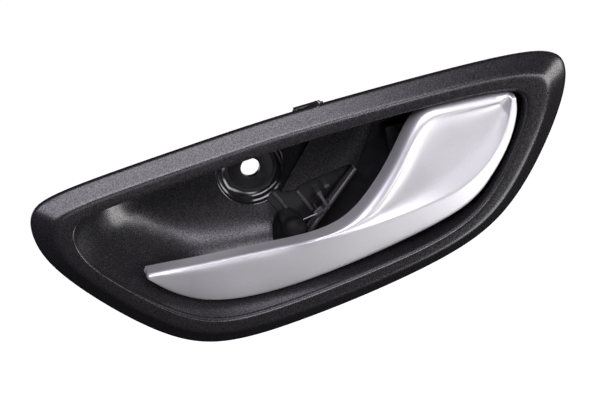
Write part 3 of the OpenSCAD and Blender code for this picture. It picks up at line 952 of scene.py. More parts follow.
    def behind(self) -> bpy.types.Object:
        """Makes the collars, towers, tongues, pegs, hooks and the block behind the bezel.

        Returns:
            One solid, whose front still has to be trimmed to the skin.
        """
        crest, seat = -self.lip_h, self.seat_y
        wide = evenly(filleted(self.well, self.well_round), self.collar_spacing)
        pocket = self.pocket_plan(self.pocket_r, self.collar)
        parts = [prism("well_collar", wide + outward(wide) * self.collar, crest, seat),
                 prism("pocket_collar", pocket, self.scoop_d - 7, seat)]
        r, rim = self.tower_r, self.tower_r - 0.4
        parts += [turned(f"tower_{k}", at, [(r, crest), (r, seat - 0.5), (rim, seat)])
                  for k, at in enumerate(self.towers)]
        parts += [self.tongue(f"tongue_{k}", *clip) for k, clip in enumerate(self.clips)]
        r, neck, tip = self.locator_r, self.locator_r - 0.5, self.locator_r - 1.1
        peg = [(r, crest), (r, seat - 0.3), (neck, seat), (neck, seat + 3.4), (tip, seat + 4)]
        parts += [turned(f"locator_{k}", at, peg) for k, at in enumerate(self.locators)]
        parts += [self.hook(f"hook_{k}", x) for k, x in enumerate(self.hooks)]
        parts.append(stacked("edge_block", [
            (wrapped([(x, z, r - less) for x, z, r in self.block]), y)
            for less, y in self.block_sides]))
        return combined(parts[0], parts[1:], Cut.JOIN)

    def tongue(self, name: str, x: float, z: float, degrees: float) -> bpy.types.Object:
        """Makes a tongue that carries a panel clip.

        Args:
            name: its name.
            x: its middle.
            z: its middle.
            degrees: its turn about Y.

        Returns:
            The tongue.
        """
        half, wide = self.tongue_half, self.tongue_wide
        box = np.array([[-half, -wide], [half, -wide], [half, wide], [-half, wide]])
        a, b = filleted(box, self.tongue_round, 4).T
        c, s = math.cos(math.radians(degrees)), math.sin(math.radians(degrees))
        plan = np.stack([x + a * c - b * s, z + a * s + b * c], 1)
        return prism(name, plan, -self.lip_h, self.tongue_tip)

    def hook(self, name: str, x: float) -> bpy.types.Object:
        """Makes a snap hook that laps over the carrier plate's top edge.

        Args:
            name: its name.
            x: the middle of its width.

        Returns:
            The hook.
        """
        z, root, back = self.hook_z, self.scoop_d - 2, self.seat_y + 2.5
        side = [(root, z), (back, z), (back, z - 1.2), (back + 0.5, z - 1.2),
                (back + 1.8, z + 0.2), (back + 1.8, z + 1.4), (back + 1.4, z + 1.8),
                (root, z + 1.8)]
        return loft(name, [np.array([[x + w, y, h] for y, h in side])
                           for w in (-self.hook_half, self.hook_half)])

    def bulkhead_wall(self) -> bpy.types.Object:
        """Makes the thin wall between the window and the lever well, its front edge rounded.

        Returns:
            The wall.
        """
        (left, _, near), (right, _, far) = self.bulkhead
        rings = []
        for less, drop in ((0.5, 0.0), (0.2, 0.12), (0.0, 0.4), (0.0, None)):
            plan = wrapped([(x, z, self.bulkhead_r - less) for x, z, _ in self.bulkhead])
            front = np.where(plan[:, 0] > (left + right) / 2, far, near)
            rings.append((plan, self.seat_y if drop is None else front + drop))
        return stacked("bulkhead", rings)

    def cutters(self) -> list[bpy.types.Object]:
        """Makes the cutters of the step, the pocket, the window, the well and the pilot holes.

        Returns:
            The cutters, the step's and the pocket's first.
        """
        deep = self.seat_y + 1
        round_pocket = self.pocket_plan(self.pocket_r)
        bowl = [*self.bowl, (self.bowl[-1][0], deep)]
        foot = [(self.pocket_plan(self.pocket_r - less), y) for less, y in bowl]
        step, window, well = (
            evenly(filleted(plan, radius), self.cut_spacing)
            for plan, radius in ((self.step, self.step_round), (self.window, self.window_round),
                                 (self.well, self.well_round)))
        seam = self.scoop_d + self.step_d
        pilot = [(self.pilot_r, 4), (self.pilot_r, self.seat_y - 0.3), (self.pilot_r + 0.4, deep)]
        return [
            self.flared("step_cut", step, self.step_edge, [(step, seam)]),
            self.flared("pocket_cut", round_pocket, self.pocket_edge, foot),
            self.flared("window_cut", window, self.window_edge, [(window, deep)], self.window_y),
            self.flared("well_cut", well, self.well_edge, [(well, deep)], self.well_y),
            *(turned(f"pilot_{k}", at, pilot) for k, at in enumerate(self.towers)),
        ]

    def build(self, palette: Palette) -> None:
        """Builds the bezel, dresses it and puts it in place of its CAD node.

        Args:
            palette: the finishes.
        """
        skin = loft("bezel_moulding", self.front_rings() + self.back_rings())
        painted(skin, palette.bezel)
        places = [v.co for v in skin.data.vertices]
        self.tree = BVHTree.FromPolygons(places, [p.vertices for p in skin.data.polygons])
        behind = combined(self.behind(), [loft("front_space", self.trim_rings())], Cut.REMOVE)
        combined(skin, [painted(behind, palette.back)], Cut.JOIN)
        tools = self.cutters()
        finishes = [palette.pocket] * 2 + [palette.gloss] * (len(tools) - 2)
        for tool, finish in zip(tools, finishes):
            painted(tool, finish)
        combined(skin, tools, Cut.REMOVE)
        # The bulkhead wall is black bezel plastic, painted mid grey as a painted highlight along
        # its edge
        combined(skin, [painted(self.bulkhead_wall(), palette.painted_highlight_grey)], Cut.JOIN)
        settled(skin, Body.HOUSING, "bezel", "bezel_black")


# ---------------------------------------------------------------- lever


@dataclass
class LeverShell:
    """The painted shell: a blade that turns into a dished thumb paddle."""

    wall: float = 2
    depth: float = 7.9
    hollow: float = 1.7
    border: float = 3.4
    fall: float = 3.2
    ridge_y: float = -6.4
    ridge_r: float = 2.6
    end_round: float = 1.3
    boss_r: float = 2.6
    boss_hole_r: float = 1.1
    boss_front: float = 3.2
    boss_back: float = 2.6
    hole_front: float = 4.4
    stations: int = 300
    end_stations: int = 8
    per_corner: int = 6
    sharp: float = 40

    ridge: ClassVar[np.ndarray] = np.array([
        [-60.3, -8.6], [-53, -9.3], [-42, -10.8], [-28, -12], [-12, -13.6], [4, -15], [20, -15.3],
        [34, -14.4], [47, -13.8], [59, -11.4], [69, -5.5], [77, 3.2], [81, 12], [82.6, 17.5],
    ])
    lower: ClassVar[np.ndarray] = np.array([
        [-60.6, -10], [-57, -15.5], [-47, -25], [-32, -29.7], [-15, -30.9], [2, -30.2],
        [20, -28.5], [36, -25.8], [50, -23], [63, -18.6], [71.5, -9.8], [79.5, -0.3], [84.4, 11],
        [84.2, 17],
    ])
    upper: ClassVar[np.ndarray] = np.array([
        [-59.8, -8], [-53, -8.6], [-42, -10.1], [-28, -11.3], [-12, -12.9], [2, -14.3],
        [15, -12.6], [26, -4.5], [37, 7], [47.5, 22.5], [58, 21.5], [69, 20.6], [78, 19.9],
        [81.7, 19],
    ])
    screws: ClassVar[tuple] = ((-28, -20), (28, -20.5))

    @property
    def back_y(self) -> float:
        """Depth of the shell's back rim."""
        return self.ridge_y + self.depth

    def section(self, u: float, g: float, sink: float = 0) -> np.ndarray:
        """Gives the corners of the lever's section.

        Args:
            u: the place along the lever, counted in control points.
            g: how far inside the outer surface the section runs.
            sink: how far the front is eased back near an end.

        Returns:
            Sixteen corners, from the upper back edge over the front to the lower back edge.
        """
        place = np.array([u])
        top, crest, low = (open_curve(c, place)[0] for c in (self.upper, self.ridge, self.lower))
        f = (low - top) / np.linalg.norm(low - top)
        a, d = top + f * g, low - f * g
        c0 = crest + f * min(g, 0.45 * np.linalg.norm(low - crest) - max(0, g - self.wall))
        w = np.linalg.norm(c0 - a)
        e, v = (c0 - a) / w, np.linalg.norm(d - c0)
        b, hollow = min(self.border, 0.34 * w), min(self.hollow, 0.16 * w)
        fall = self.fall * min(1, v / 13)
        y0 = self.ridge_y + g + sink
        inner = w - b
        rows = [
            (a, self.back_y), (a + e * 0.1 * b, y0 + 2.6), (a + e * 0.42 * b, y0 + 0.8),
            (a + e * b, y0), (a + e * (b + 0.1 * inner), y0 + 0.62 * hollow),
            (a + e * (b + 0.3 * inner), y0 + hollow),
            (a + e * (b + 0.68 * inner), y0 + 0.95 * hollow),
            (a + e * (b + 0.92 * inner), y0 + 0.24 * hollow),
            (c0, y0 - 0.1), (c0 + (d - c0) * 0.14, y0 + 0.08 * fall + 0.2),
            (c0 + (d - c0) * 0.35, y0 + 0.28 * fall + 0.2),
            (c0 + (d - c0) * 0.65, y0 + 0.62 * fall + 0.1), (c0 + (d - c0) * 0.9, y0 + fall),
            (d - f * 0.3, y0 + fall + 0.8), (d, y0 + fall + 1.8), (d, self.back_y),
        ]
        out = np.array([[p[0], y, p[1]] for p, y in rows])
        front = slice(3, 10)
        down = np.linalg.norm(out[front, ::2] - a, axis=1)
        round_off = 1 - np.clip(1 - down / self.ridge_r, 0, 1) ** 2
        rolled = y0 + self.ridge_r * (1 - np.sqrt(round_off))
        out[front, 1] = np.maximum(out[front, 1], rolled)
        out[:, 1] = np.minimum(out[:, 1], self.back_y)
        return out

    def cup_section(self, u: float, full: bool) -> np.ndarray:
        """Gives the shell's section, the outer face out and the inner face back.

        Args:
            u: the place along the lever.
            full: whether the hollow is open here, or ends just inside the back.

        Returns:
            The section's points in order.
        """
        last = len(self.ridge) - 1
        crest = open_curve(self.ridge, np.array([u, 0 if u < last / 2 else last]))
        near = float(np.linalg.norm(crest[0] - crest[1]))
        r = self.end_round
        sink = r - math.sqrt(max(0, r * r - max(0, r - near) ** 2)) if near < r else 0
        reach = np.array([0, 0.5, 0.5, 0.45] + [0.5] * 11 + [0])
        outer = softened(self.section(u, 0, sink), reach, self.per_corner)
        inner = self.section(u, self.wall)[::-1].copy()
        if not full:
            lid = self.back_y - 0.4
            closed = lid + 0.02 * (inner[:, 1] - self.ridge_y)
            inner[:, 1] = np.where(inner[:, 1] == self.back_y, self.back_y, closed)
        return np.vstack([outer, inner])

    def posts(self, name: str, radius: float, front: float, back: float) -> list[bpy.types.Object]:
        """Makes a post at each screw between two depths."""
        return [turned(f"{name}_{k}", at, [(radius, front), (radius, back)])
                for k, at in enumerate(self.screws)]

    def build(self, palette: Palette) -> None:
        """Builds the shell with its two screw bosses and puts it in place of its CAD node.

        Args:
            palette: the finishes.
        """
        last = len(self.ridge) - 1
        step = self.wall / 6
        closing = np.linspace(0, step, self.end_stations)[:-1]
        middle = np.linspace(step, last - step, self.stations)
        places = [(u, False) for u in closing] + [(u, True) for u in middle]
        places += [(last - u, False) for u in closing[::-1]]
        shell = loft("lever_skin", [self.cup_section(u, full) for u, full in places])
        bm = bmesh.new()
        bm.from_mesh(shell.data)
        bmesh.ops.remove_doubles(bm, verts=bm.verts, dist=SKIN_WELD)
        bm.to_mesh(shell.data)
        bm.free()
        front, back = self.ridge_y + self.boss_front, self.back_y - self.boss_back
        combined(shell, self.posts("boss", self.boss_r, front, back), Cut.JOIN)
        front = self.ridge_y + self.hole_front
        holes = self.posts("boss_hole", self.boss_hole_r, front, self.back_y)
        combined(shell, holes, Cut.REMOVE)
        painted(shell, palette.paint)
        settled(shell, Body.LEVER, "lever_shell", "lever_paint", self.sharp)


# ---------------------------------------------------------------- geometry nodes


class Growth:
    """A geometry-nodes tree being built, with named inputs and short ways to join its nodes."""

    def __init__(self, name: str, sizes: tuple[str, ...]) -> None:
        """Makes the tree with a geometry input, one input for each size, and a finish.

        Args:
            name: the tree's name.
            sizes: the names of its number inputs.
        """
        self.tree = bpy.data.node_groups.new(name, "GeometryNodeTree")
        face = self.tree.interface
        face.new_socket("Geometry", in_out="INPUT", socket_type="NodeSocketGeometry")
        for size in sizes:
            face.new_socket(size, in_out="INPUT", socket_type="NodeSocketFloat")
        face.new_socket("Finish", in_out="INPUT", socket_type="NodeSocketMaterial")
        face.new_socket("Geometry", in_out="OUTPUT", socket_type="NodeSocketGeometry")
        self.entry = self.tree.nodes.new("NodeGroupInput").outputs

    def add(self, kind: str, inputs: dict, **values: object) -> bpy.types.Node:
        """Adds a node.

        Args:
            kind: the node's type.
            inputs: a value or a socket for each of its inputs.
            values: properties to set on it.

        Returns:
            The node.
        """
        node = self.tree.nodes.new(kind)
        for key, value in values.items():
            setattr(node, key, value)
        for key, value in inputs.items():
            if isinstance(value, bpy.types.NodeSocket):
                self.tree.links.new(value, node.inputs[key])
            else:
                node.inputs[key].default_value = value
        return node

    def math(self, operation: str, *values: object) -> bpy.types.NodeSocket:
        """Adds a math node and gives its result."""
        numbers = dict(enumerate(values))
        return self.add("ShaderNodeMath", numbers, operation=operation).outputs[0]

    def point(self, x: object, y: object, z: object) -> bpy.types.NodeSocket:
        """Puts three numbers together as a point."""
        return self.add("ShaderNodeCombineXYZ", {0: x, 1: y, 2: z}).outputs[0]

    def position(self) -> list[bpy.types.NodeSocket]:
        """Gives x, y and z of each vertex."""
        place = self.add("GeometryNodeInputPosition", {}).outputs[0]
        return list(self.add("ShaderNodeSeparateXYZ", {0: place}).outputs)

    def share(self, value: object, low: object, high: object, first: object,
              last: object) -> bpy.types.NodeSocket:
        """Maps a value from low and high to first and last, and keeps it between them."""
        ends = {0: value, 1: low, 2: high, 3: first, 4: last}
        return self.add("ShaderNodeMapRange", ends).outputs[0]

    def moved(self, geometry: bpy.types.NodeSocket,
              place: bpy.types.NodeSocket) -> bpy.types.NodeSocket:
        """Sets the position of each vertex."""
        inputs = {"Geometry": geometry, "Position": place}
        return self.add("GeometryNodeSetPosition", inputs).outputs[0]

    def swept(self, path: bpy.types.NodeSocket,
              profile: bpy.types.NodeSocket) -> bpy.types.NodeSocket:
        """Sweeps a profile along a path and caps its ends."""
        inputs = {"Curve": path, "Profile Curve": profile, "Fill Caps": True}
        return self.add("GeometryNodeCurveToMesh", inputs).outputs[0]

    def rounded(self, curve: bpy.types.NodeSocket, count: int,
                radius: bpy.types.NodeSocket) -> bpy.types.NodeSocket:
        """Rounds a curve's corners."""
        inputs = {"Curve": curve, "Count": count, "Radius": radius}
        return self.add("GeometryNodeFilletCurve", inputs, mode="POLY").outputs[0]

    def oblong(self, width: bpy.types.NodeSocket,
               height: bpy.types.NodeSocket) -> bpy.types.NodeSocket:
        """Makes a rectangle to sweep."""
        inputs = {"Width": width, "Height": height}
        return self.add("GeometryNodeCurvePrimitiveQuadrilateral", inputs).outputs[0]

    def close(self, geometry: bpy.types.NodeSocket) -> None:
        """Ends the tree with real geometry that carries the finish.

        Args:
            geometry: what the tree makes.
        """
        real = self.add("GeometryNodeRealizeInstances", {0: geometry}).outputs[0]
        inputs = {"Geometry": real, "Material": self.entry["Finish"]}
        dressed = self.add("GeometryNodeSetMaterial", inputs).outputs[0]
        self.tree.links.new(dressed, self.tree.nodes.new("NodeGroupOutput").inputs[0])

    def grown(self, name: str, start: bpy.types.Mesh, finish: bpy.types.Material,
              sizes: dict[str, float]) -> bpy.types.Object:
        """Grows one piece and turns it into a plain mesh.

        Args:
            name: the piece's name.
            start: the mesh that the tree reads.
            finish: its material.
            sizes: a number for each of the tree's inputs.

        Returns:
            The piece, in the place where the tree makes it.
        """
        obj = linked(name, start)
        modifier = obj.modifiers.new(name, "NODES")
        modifier.node_group = self.tree
        for item in self.tree.interface.items_tree:
            if item.in_out == "INPUT" and item.name in sizes:
                modifier[item.identifier] = float(sizes[item.name])
            elif item.name == "Finish":
                modifier[item.identifier] = finish
        return painted(baked(obj), finish)


def bare_mesh(name: str, points: list, edges: list | None = None) -> bpy.types.Mesh:
    """Makes a mesh of points and edges only, for a tree to read.

    Args:
        name: its name.
        points: x, y and z of each in metres.
        edges: pairs of point numbers.

    Returns:
        The mesh.
    """
    mesh = bpy.data.meshes.new(name)
    mesh.from_pydata(points, edges or [], [])
    return mesh


@dataclass(frozen=True)
class Screw:
    """One pan-head screw, its head towards the back."""

    node: str
    name: str
    body: Body
    at: tuple[float, float]
    head_y: float
    sizes: tuple[float, ...]


@dataclass
class Screws:
    """The screws: a rolled thread that follows a helix, under a domed, six-sided-drive head."""

    inputs: ClassVar[tuple] = ("Head Radius", "Head Height", "Shank Radius", "Length", "Pitch",
                               "Thread Depth", "Drive Radius", "Drive Depth")
    big: ClassVar[tuple] = (3.4, 2.2, 1.45, 14.4, 1.15, 0.28, 1.5, 1.2)
    small: ClassVar[tuple] = (2.2, 1.3, 1.05, 4.9, 0.8, 0.2, 0.9, 0.75)
    carrier_y: float = 22.4
    lever_y: float = 0.4
    overlap: float = 0.5

    def shank(self, g: Growth) -> bpy.types.NodeSocket:
        """Adds the threaded shank to the tree, its top just inside the head.

        Args:
            g: the tree.

        Returns:
            The shank's geometry.
        """
        e, m = g.entry, g.math
        shank = g.add("GeometryNodeMeshCylinder", {
            "Vertices": 36, "Side Segments": 120, "Radius": e["Shank Radius"],
            "Depth": e["Length"]}).outputs["Mesh"]
        x, y, z = g.position()
        turn = m("DIVIDE", m("ARCTAN2", y, x), 2 * math.pi)
        phase = m("FRACT", m("SUBTRACT", m("DIVIDE", z, e["Pitch"]), turn))
        flank = m("ABSOLUTE", m("MULTIPLY_ADD", phase, 2.0, -1.0))
        groove = m("MINIMUM", m("MULTIPLY", flank, 1.7), 1.0)
        half = m("MULTIPLY", e["Length"], 0.5)
        tip = g.share(m("ADD", z, half), 0.0, m("MULTIPLY", e["Pitch"], 2.0), 0.6, 1.0)
        neck = g.share(m("SUBTRACT", half, z), 0.0, m("MULTIPLY", e["Pitch"], 1.5), 0.0, 1.0)
        cut = m("MULTIPLY", m("MULTIPLY", e["Thread Depth"], groove), neck)
        left = m("DIVIDE", m("SUBTRACT", e["Shank Radius"], cut), e["Shank Radius"])
        size = m("MULTIPLY", left, tip)
        drop = m("SUBTRACT", self.overlap * MM, half)
        place = g.point(m("MULTIPLY", x, size), m("MULTIPLY", y, size), m("ADD", z, drop))
        return g.moved(shank, place)

    def head(self, g: Growth) -> bpy.types.NodeSocket:
        """Adds the domed head to the tree, with its drive cut in.

        Args:
            g: the tree.

        Returns:
            The head's geometry.
        """
        e, m = g.entry, g.math
        head = g.add("GeometryNodeMeshCylinder", {
            "Vertices": 48, "Side Segments": 8, "Fill Segments": 5, "Radius": e["Head Radius"],
            "Depth": e["Head Height"]}, fill_type="TRIANGLE_FAN").outputs["Mesh"]
        x, y, z = g.position()
        height = m("ADD", m("DIVIDE", z, e["Head Height"]), 0.5)
        lean = m("SUBTRACT", 1.0, m("MULTIPLY", m("POWER", height, 4.0), 0.2))
        off = m("SQRT", m("ADD", m("MULTIPLY", x, x), m("MULTIPLY", y, y)))
        out = m("DIVIDE", off, e["Head Radius"])
        sag = m("MULTIPLY", m("MULTIPLY", m("POWER", out, 3.0), height), 0.18)
        rise = m("MULTIPLY", m("SUBTRACT", height, sag), e["Head Height"])
        head = g.moved(head, g.point(m("MULTIPLY", x, lean), m("MULTIPLY", y, lean), rise))
        drive = g.add("GeometryNodeMeshCylinder", {
            "Vertices": 6, "Radius": e["Drive Radius"],
            "Depth": m("MULTIPLY", e["Drive Depth"], 2.0)}).outputs["Mesh"]
        x, y, z = g.position()
        drive = g.moved(drive, g.point(x, y, m("ADD", z, e["Head Height"])))
        return g.add("GeometryNodeMeshBoolean", {"Mesh 1": head, "Mesh 2": drive},
                     operation="DIFFERENCE", solver="MANIFOLD").outputs[0]

    def tree(self) -> Growth:
        """Builds the tree that grows any of the screws along Z, the head's seat at zero.

        Returns:
            The tree.
        """
        g = Growth("threaded_screw", self.inputs)
        join = g.add("GeometryNodeJoinGeometry", {})
        shank = self.shank(g)
        for part in (self.head(g), shank):
            g.tree.links.new(part, join.inputs[0])
        g.close(join.outputs[0])
        return g

    def build(self, palette: Palette) -> None:
        """Grows the five screws and puts them in place of their CAD nodes.

        Args:
            palette: the finishes.
        """
        tree = self.tree()
        row = [Screw(f"carrier_screw_{k}", f"carrier_fixing_screw_{k}", Body.HOUSING, at,
                     self.carrier_y, self.big) for k, at in enumerate(Bezel.towers, 1)]
        row += [Screw(f"lever_screw_{k}", f"shell_fixing_screw_{k}", Body.LEVER, at,
                      self.lever_y, self.small) for k, at in enumerate(LeverShell.screws, 1)]
        for item in row:
            sizes = {key: value * MM for key, value in zip(self.inputs, item.sizes)}
            obj = tree.grown(item.name, bare_mesh(item.name, []), palette.screw, sizes)
            place = to_part(np.array([item.at[0], item.head_y, item.at[1]]))
            turn = Matrix.Rotation(math.radians(-90), 4, "X")
            obj.data.transform(Matrix.Translation(place) @ turn)
            settled(obj, item.body, item.node, "screw_steel")


@dataclass
class ReturnSpring:
    """The torsion spring, one wire that follows a straight leg, a helix and a second leg."""

    coil_radius: float = 3.2
    wire_radius: float = 0.6
    turns: float = 4.25
    height: float = 5.6
    start_leg: float = 11.5
    end_leg: float = 12
    pivot: tuple[float, float, float] = (57.24, 5.5, 0)
    leg_steps: int = 6
    coil_steps: int = 170
    wire_steps: int = 14
    bending: float = 0.4
    sharp: float = 50

    def sizes(self) -> dict[str, float]:
        """Gives the tree's inputs, its lengths in metres."""
        return {"Coil Radius": self.coil_radius * MM, "Wire Radius": self.wire_radius * MM,
                "Turns": self.turns, "Height": self.height * MM,
                "Start Leg": self.start_leg * MM, "End Leg": self.end_leg * MM}

    def tree(self) -> Growth:
        """Builds the tree that grows the wire round Z.

        Returns:
            The tree.
        """
        g = Growth("wire_on_a_helix", tuple(self.sizes()))
        e, m = g.entry, g.math
        legs, coil_end = self.leg_steps, self.leg_steps + self.coil_steps
        line = g.add("GeometryNodeCurvePrimitiveLine", {}).outputs[0]
        line = g.add("GeometryNodeResampleCurve",
                     {"Curve": line, "Count": coil_end + legs + 1}).outputs[0]
        k = g.add("GeometryNodeInputIndex", {}).outputs[0]
        along = g.share(k, float(legs), float(coil_end), 0.0, 1.0)
        before = g.share(k, 0.0, float(legs), 1.0, 0.0)
        after = g.share(k, float(coil_end), float(coil_end + legs), 0.0, 1.0)
        whole = m("MULTIPLY", e["Turns"], 2 * math.pi)
        angle = m("MULTIPLY_ADD", whole, along, math.pi)
        end = m("ADD", whole, math.pi)
        reach = m("MULTIPLY", after, e["End Leg"])
        x = m("SUBTRACT", m("MULTIPLY", m("COSINE", angle), e["Coil Radius"]),
              m("MULTIPLY", m("SINE", end), reach))
        y = m("ADD", m("MULTIPLY", m("SINE", angle), e["Coil Radius"]),
              m("MULTIPLY", m("COSINE", end), reach))
        y = m("ADD", y, m("MULTIPLY", before, e["Start Leg"]))
        z = m("MULTIPLY", m("SUBTRACT", along, 0.5), e["Height"])
        wire = g.add("GeometryNodeCurvePrimitiveCircle",
                     {"Resolution": self.wire_steps, "Radius": e["Wire Radius"]}).outputs[0]
        g.close(g.swept(g.moved(line, g.point(x, y, z)), wire))
        return g

    def build(self, palette: Palette) -> None:
        """Grows the spring on the pivot.

        Args:
            palette: the finishes.
        """
        name = "return_spring_wire"
        obj = self.tree().grown(name, bare_mesh(name, []), palette.spring, self.sizes())
        obj.data.transform(Matrix.Translation(to_part(np.array(self.pivot))))
        settled(obj, None, "return_spring", "spring_steel", self.sharp)
        ends = [to_part(np.array(self.pivot) + (0, 0, side * self.bending * self.height))
                for side in (-1, 1)]
        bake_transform(obj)


@dataclass
class PanelClips:
    """The four spring clips, each a strip of sheet folded along a path over its tongue."""

    sheet: float = 0.6
    width: float = 9.98
    bend: float = 0.45
    tongue_half: float = 1.4
    tip: float = 11.7
    foot: float = 3.2
    knee: float = 7.0
    toe: float = 4.7
    barb: float = 2.3

    def sizes(self) -> dict[str, float]:
        """Gives the tree's inputs in metres."""
        return {"Sheet": self.sheet * MM, "Width": self.width * MM, "Bend Radius": self.bend * MM}

    def tree(self) -> Growth:
        """Builds the tree that folds a strip along the path it reads.

        Returns:
            The tree.
        """
        g = Growth("folded_strip", tuple(self.sizes()))
        e = g.entry
        path = g.add("GeometryNodeMeshToCurve", {"Mesh": e["Geometry"]}).outputs[0]
        path = g.rounded(path, 5, e["Bend Radius"])
        path = g.add("GeometryNodeSetCurveNormal", {"Curve": path}, mode="Z_UP").outputs[0]
        g.close(g.swept(path, g.oblong(e["Sheet"], e["Width"])))
        return g

    def build(self, palette: Palette) -> None:
        """Grows the four clips.

        Args:
            palette: the finishes.
        """
        tree = self.tree()
        mid, top = self.tongue_half + self.sheet / 2, self.tip + self.sheet / 2
        path = [(-mid, self.foot), (-mid, top), (mid, top), (mid, self.knee),
                (self.tongue_half + self.barb, self.toe)]
        points = [(x * MM, y * MM, 0) for x, y in path]
        edges = [(k, k + 1) for k in range(len(path) - 1)]
        for k, (x, z, degrees) in enumerate(Bezel.clips, 1):
            name = f"tongue_spring_clip_{k}"
            obj = tree.grown(name, bare_mesh(name, points, edges), palette.clip, self.sizes())
            place = Matrix.Translation(to_part(np.array([x, 0, z])))
            obj.data.transform(place @ Matrix.Rotation(math.radians(-degrees), 4, "Y"))
            settled(obj, Body.HOUSING, f"panel_clip_{k}", "clip_steel")


@dataclass
class RimGussets:
    """The thin wedges that stiffen the rim from behind, set evenly round its outline."""

    count: int = 16
    thick: float = 1.1
    edge: tuple[float, float] = (-1.5, -0.6)
    lip: tuple[float, float] = (-5.2, 3.0)
    start: float = 0.1
    reach: float = 0.75

    def sizes(self) -> dict[str, float]:
        """Gives the tree's inputs in metres."""
        return {"Thickness": self.thick * MM, "Edge Front": self.edge[0] * MM,
                "Edge Back": self.edge[1] * MM, "Lip Front": self.lip[0] * MM,
                "Lip Back": self.lip[1] * MM}

    def tree(self) -> Growth:
        """Builds the tree that sets a wedge on each point, along the way the point keeps.

        Returns:
            The tree.
        """
        g = Growth("wedges_round_a_rim", tuple(self.sizes()))
        e = g.entry
        block = g.add("GeometryNodeMeshCube", {}).outputs["Mesh"]
        x, y, z = g.position()
        along = g.math("ADD", x, 0.5)
        front = g.share(along, 0.0, 1.0, e["Edge Front"], e["Lip Front"])
        back = g.share(along, 0.0, 1.0, e["Edge Back"], e["Lip Back"])
        depth = g.share(y, -0.5, 0.5, front, back)
        block = g.moved(block, g.point(along, depth, g.math("MULTIPLY", z, e["Thickness"])))
        way = g.add("GeometryNodeInputNamedAttribute", {"Name": "way"},
                    data_type="FLOAT_VECTOR").outputs[0]
        turn = g.add("FunctionNodeAlignRotationToVector", {"Vector": way}, axis="X",
                     pivot_axis="Y").outputs[0]
        length = g.add("ShaderNodeVectorMath", {0: way}, operation="LENGTH").outputs["Value"]
        g.close(g.add("GeometryNodeInstanceOnPoints", {
            "Points": e["Geometry"], "Instance": block, "Rotation": turn,
            "Scale": g.point(length, 1.0, 1.0)}).outputs[0])
        return g

    def build(self, palette: Palette, bezel: Bezel) -> None:
        """Grows the wedges round the rim.

        Args:
            palette: the finishes.
            bezel: the bezel that they stiffen.
        """
        u = (np.arange(self.count) + 0.5) / self.count
        outer, lip = loop_curve(bezel.outer, u), loop_curve(bezel.lip, u)
        points = to_part(at_depth(outer + (lip - outer) * self.start, 0))
        mesh = bare_mesh("rim_gussets", points.tolist())
        ways = at_depth((lip - outer) * self.reach * MM, 0)
        kept = mesh.attributes.new("way", "FLOAT_VECTOR", "POINT")
        kept.data.foreach_set("vector", ways.ravel())
        obj = self.tree().grown("rim_gussets", mesh, palette.gloss, self.sizes())
        settled(obj, Body.HOUSING, None, "bezel_black")


@dataclass(frozen=True)
class Bar:
    """A straight rib or rod in the mechanism window, between two points of the styling grid."""

    start: tuple[float, float, float]
    end: tuple[float, float, float]


@dataclass
class WindowDetail:
    """The small ribs, the latch arm and the link rods that show through the mechanism window."""

    inputs: ClassVar[tuple] = ("Width", "Depth", "Edge Radius")
    arm_size: tuple[float, float, float] = (1.9, 1.3, 0.3)
    rib_size: tuple[float, float, float] = (0.9, 1.2, 0.2)
    rod_size: tuple[float, float, float] = (0.6, 0.6, 0.25)
    arm: ClassVar[tuple] = (
        Bar((9.0, 12.4, -4.2), (11.3, 12.4, -11.6)), Bar((9.2, 12.0, -4.8), (9.2, 20.4, -4.8)),
        Bar((12.6, 12.8, -3.2), (12.6, 20.4, -3.2)))
    ribs: ClassVar[tuple] = (
        Bar((-6.4, 19.4, -2.2), (-2.8, 19.4, -9.7)), Bar((2.4, 19.4, -4.2), (6.4, 19.4, -13.6)),
        Bar((6.2, 12.2, -13.2), (9.3, 12.2, -11.6)), Bar((5.8, 12.2, -12.0), (8.8, 12.2, -10.4)),
        Bar((7.6, 12.2, -12.1), (7.6, 20.4, -12.1)))
    rods: ClassVar[tuple] = (
        Bar((1.2, 11.8, -12.9), (6.6, 11.8, -12.2)), Bar((12.2, 11.6, -7.4), (12.4, 11.6, -8.8)),
        Bar((1.6, 11.8, -12.8), (1.6, 20.4, -12.8)))

    def tree(self) -> Growth:
        """Builds the tree that sweeps a rounded bar along each edge it reads.

        Returns:
            The tree.
        """
        g = Growth("bars_along_edges", self.inputs)
        e = g.entry
        path = g.add("GeometryNodeMeshToCurve", {"Mesh": e["Geometry"]}).outputs[0]
        outline = g.rounded(g.oblong(e["Width"], e["Depth"]), 4, e["Edge Radius"])
        g.close(g.swept(path, outline))
        return g

    def build(self, palette: Palette) -> None:
        """Grows the arm, the ribs and the rods.

        Args:
            palette: the finishes.
        """
        tree = self.tree()
        # The arm and the ribs are black carrier plastic, painted mid grey as painted glints
        for name, bars, size, finish, slot in (
            ("window_latch_arm", self.arm, self.arm_size, palette.painted_highlight_grey, "carrier_black"),
            ("window_ribs", self.ribs, self.rib_size, palette.painted_highlight_grey, "carrier_black"),
            ("window_link_rods", self.rods, self.rod_size, palette.spring, "spring_steel"),
        ):
            points = to_part(np.array([p for bar in bars for p in (bar.start, bar.end)])).tolist()
            mesh = bare_mesh(name, points, [(2 * k, 2 * k + 1) for k in range(len(bars))])
            sizes = {key: value * MM for key, value in zip(self.inputs, size)}
            settled(tree.grown(name, mesh, finish, sizes), Body.HOUSING, None, slot)


# ---------------------------------------------------------------- dressed CAD nodes


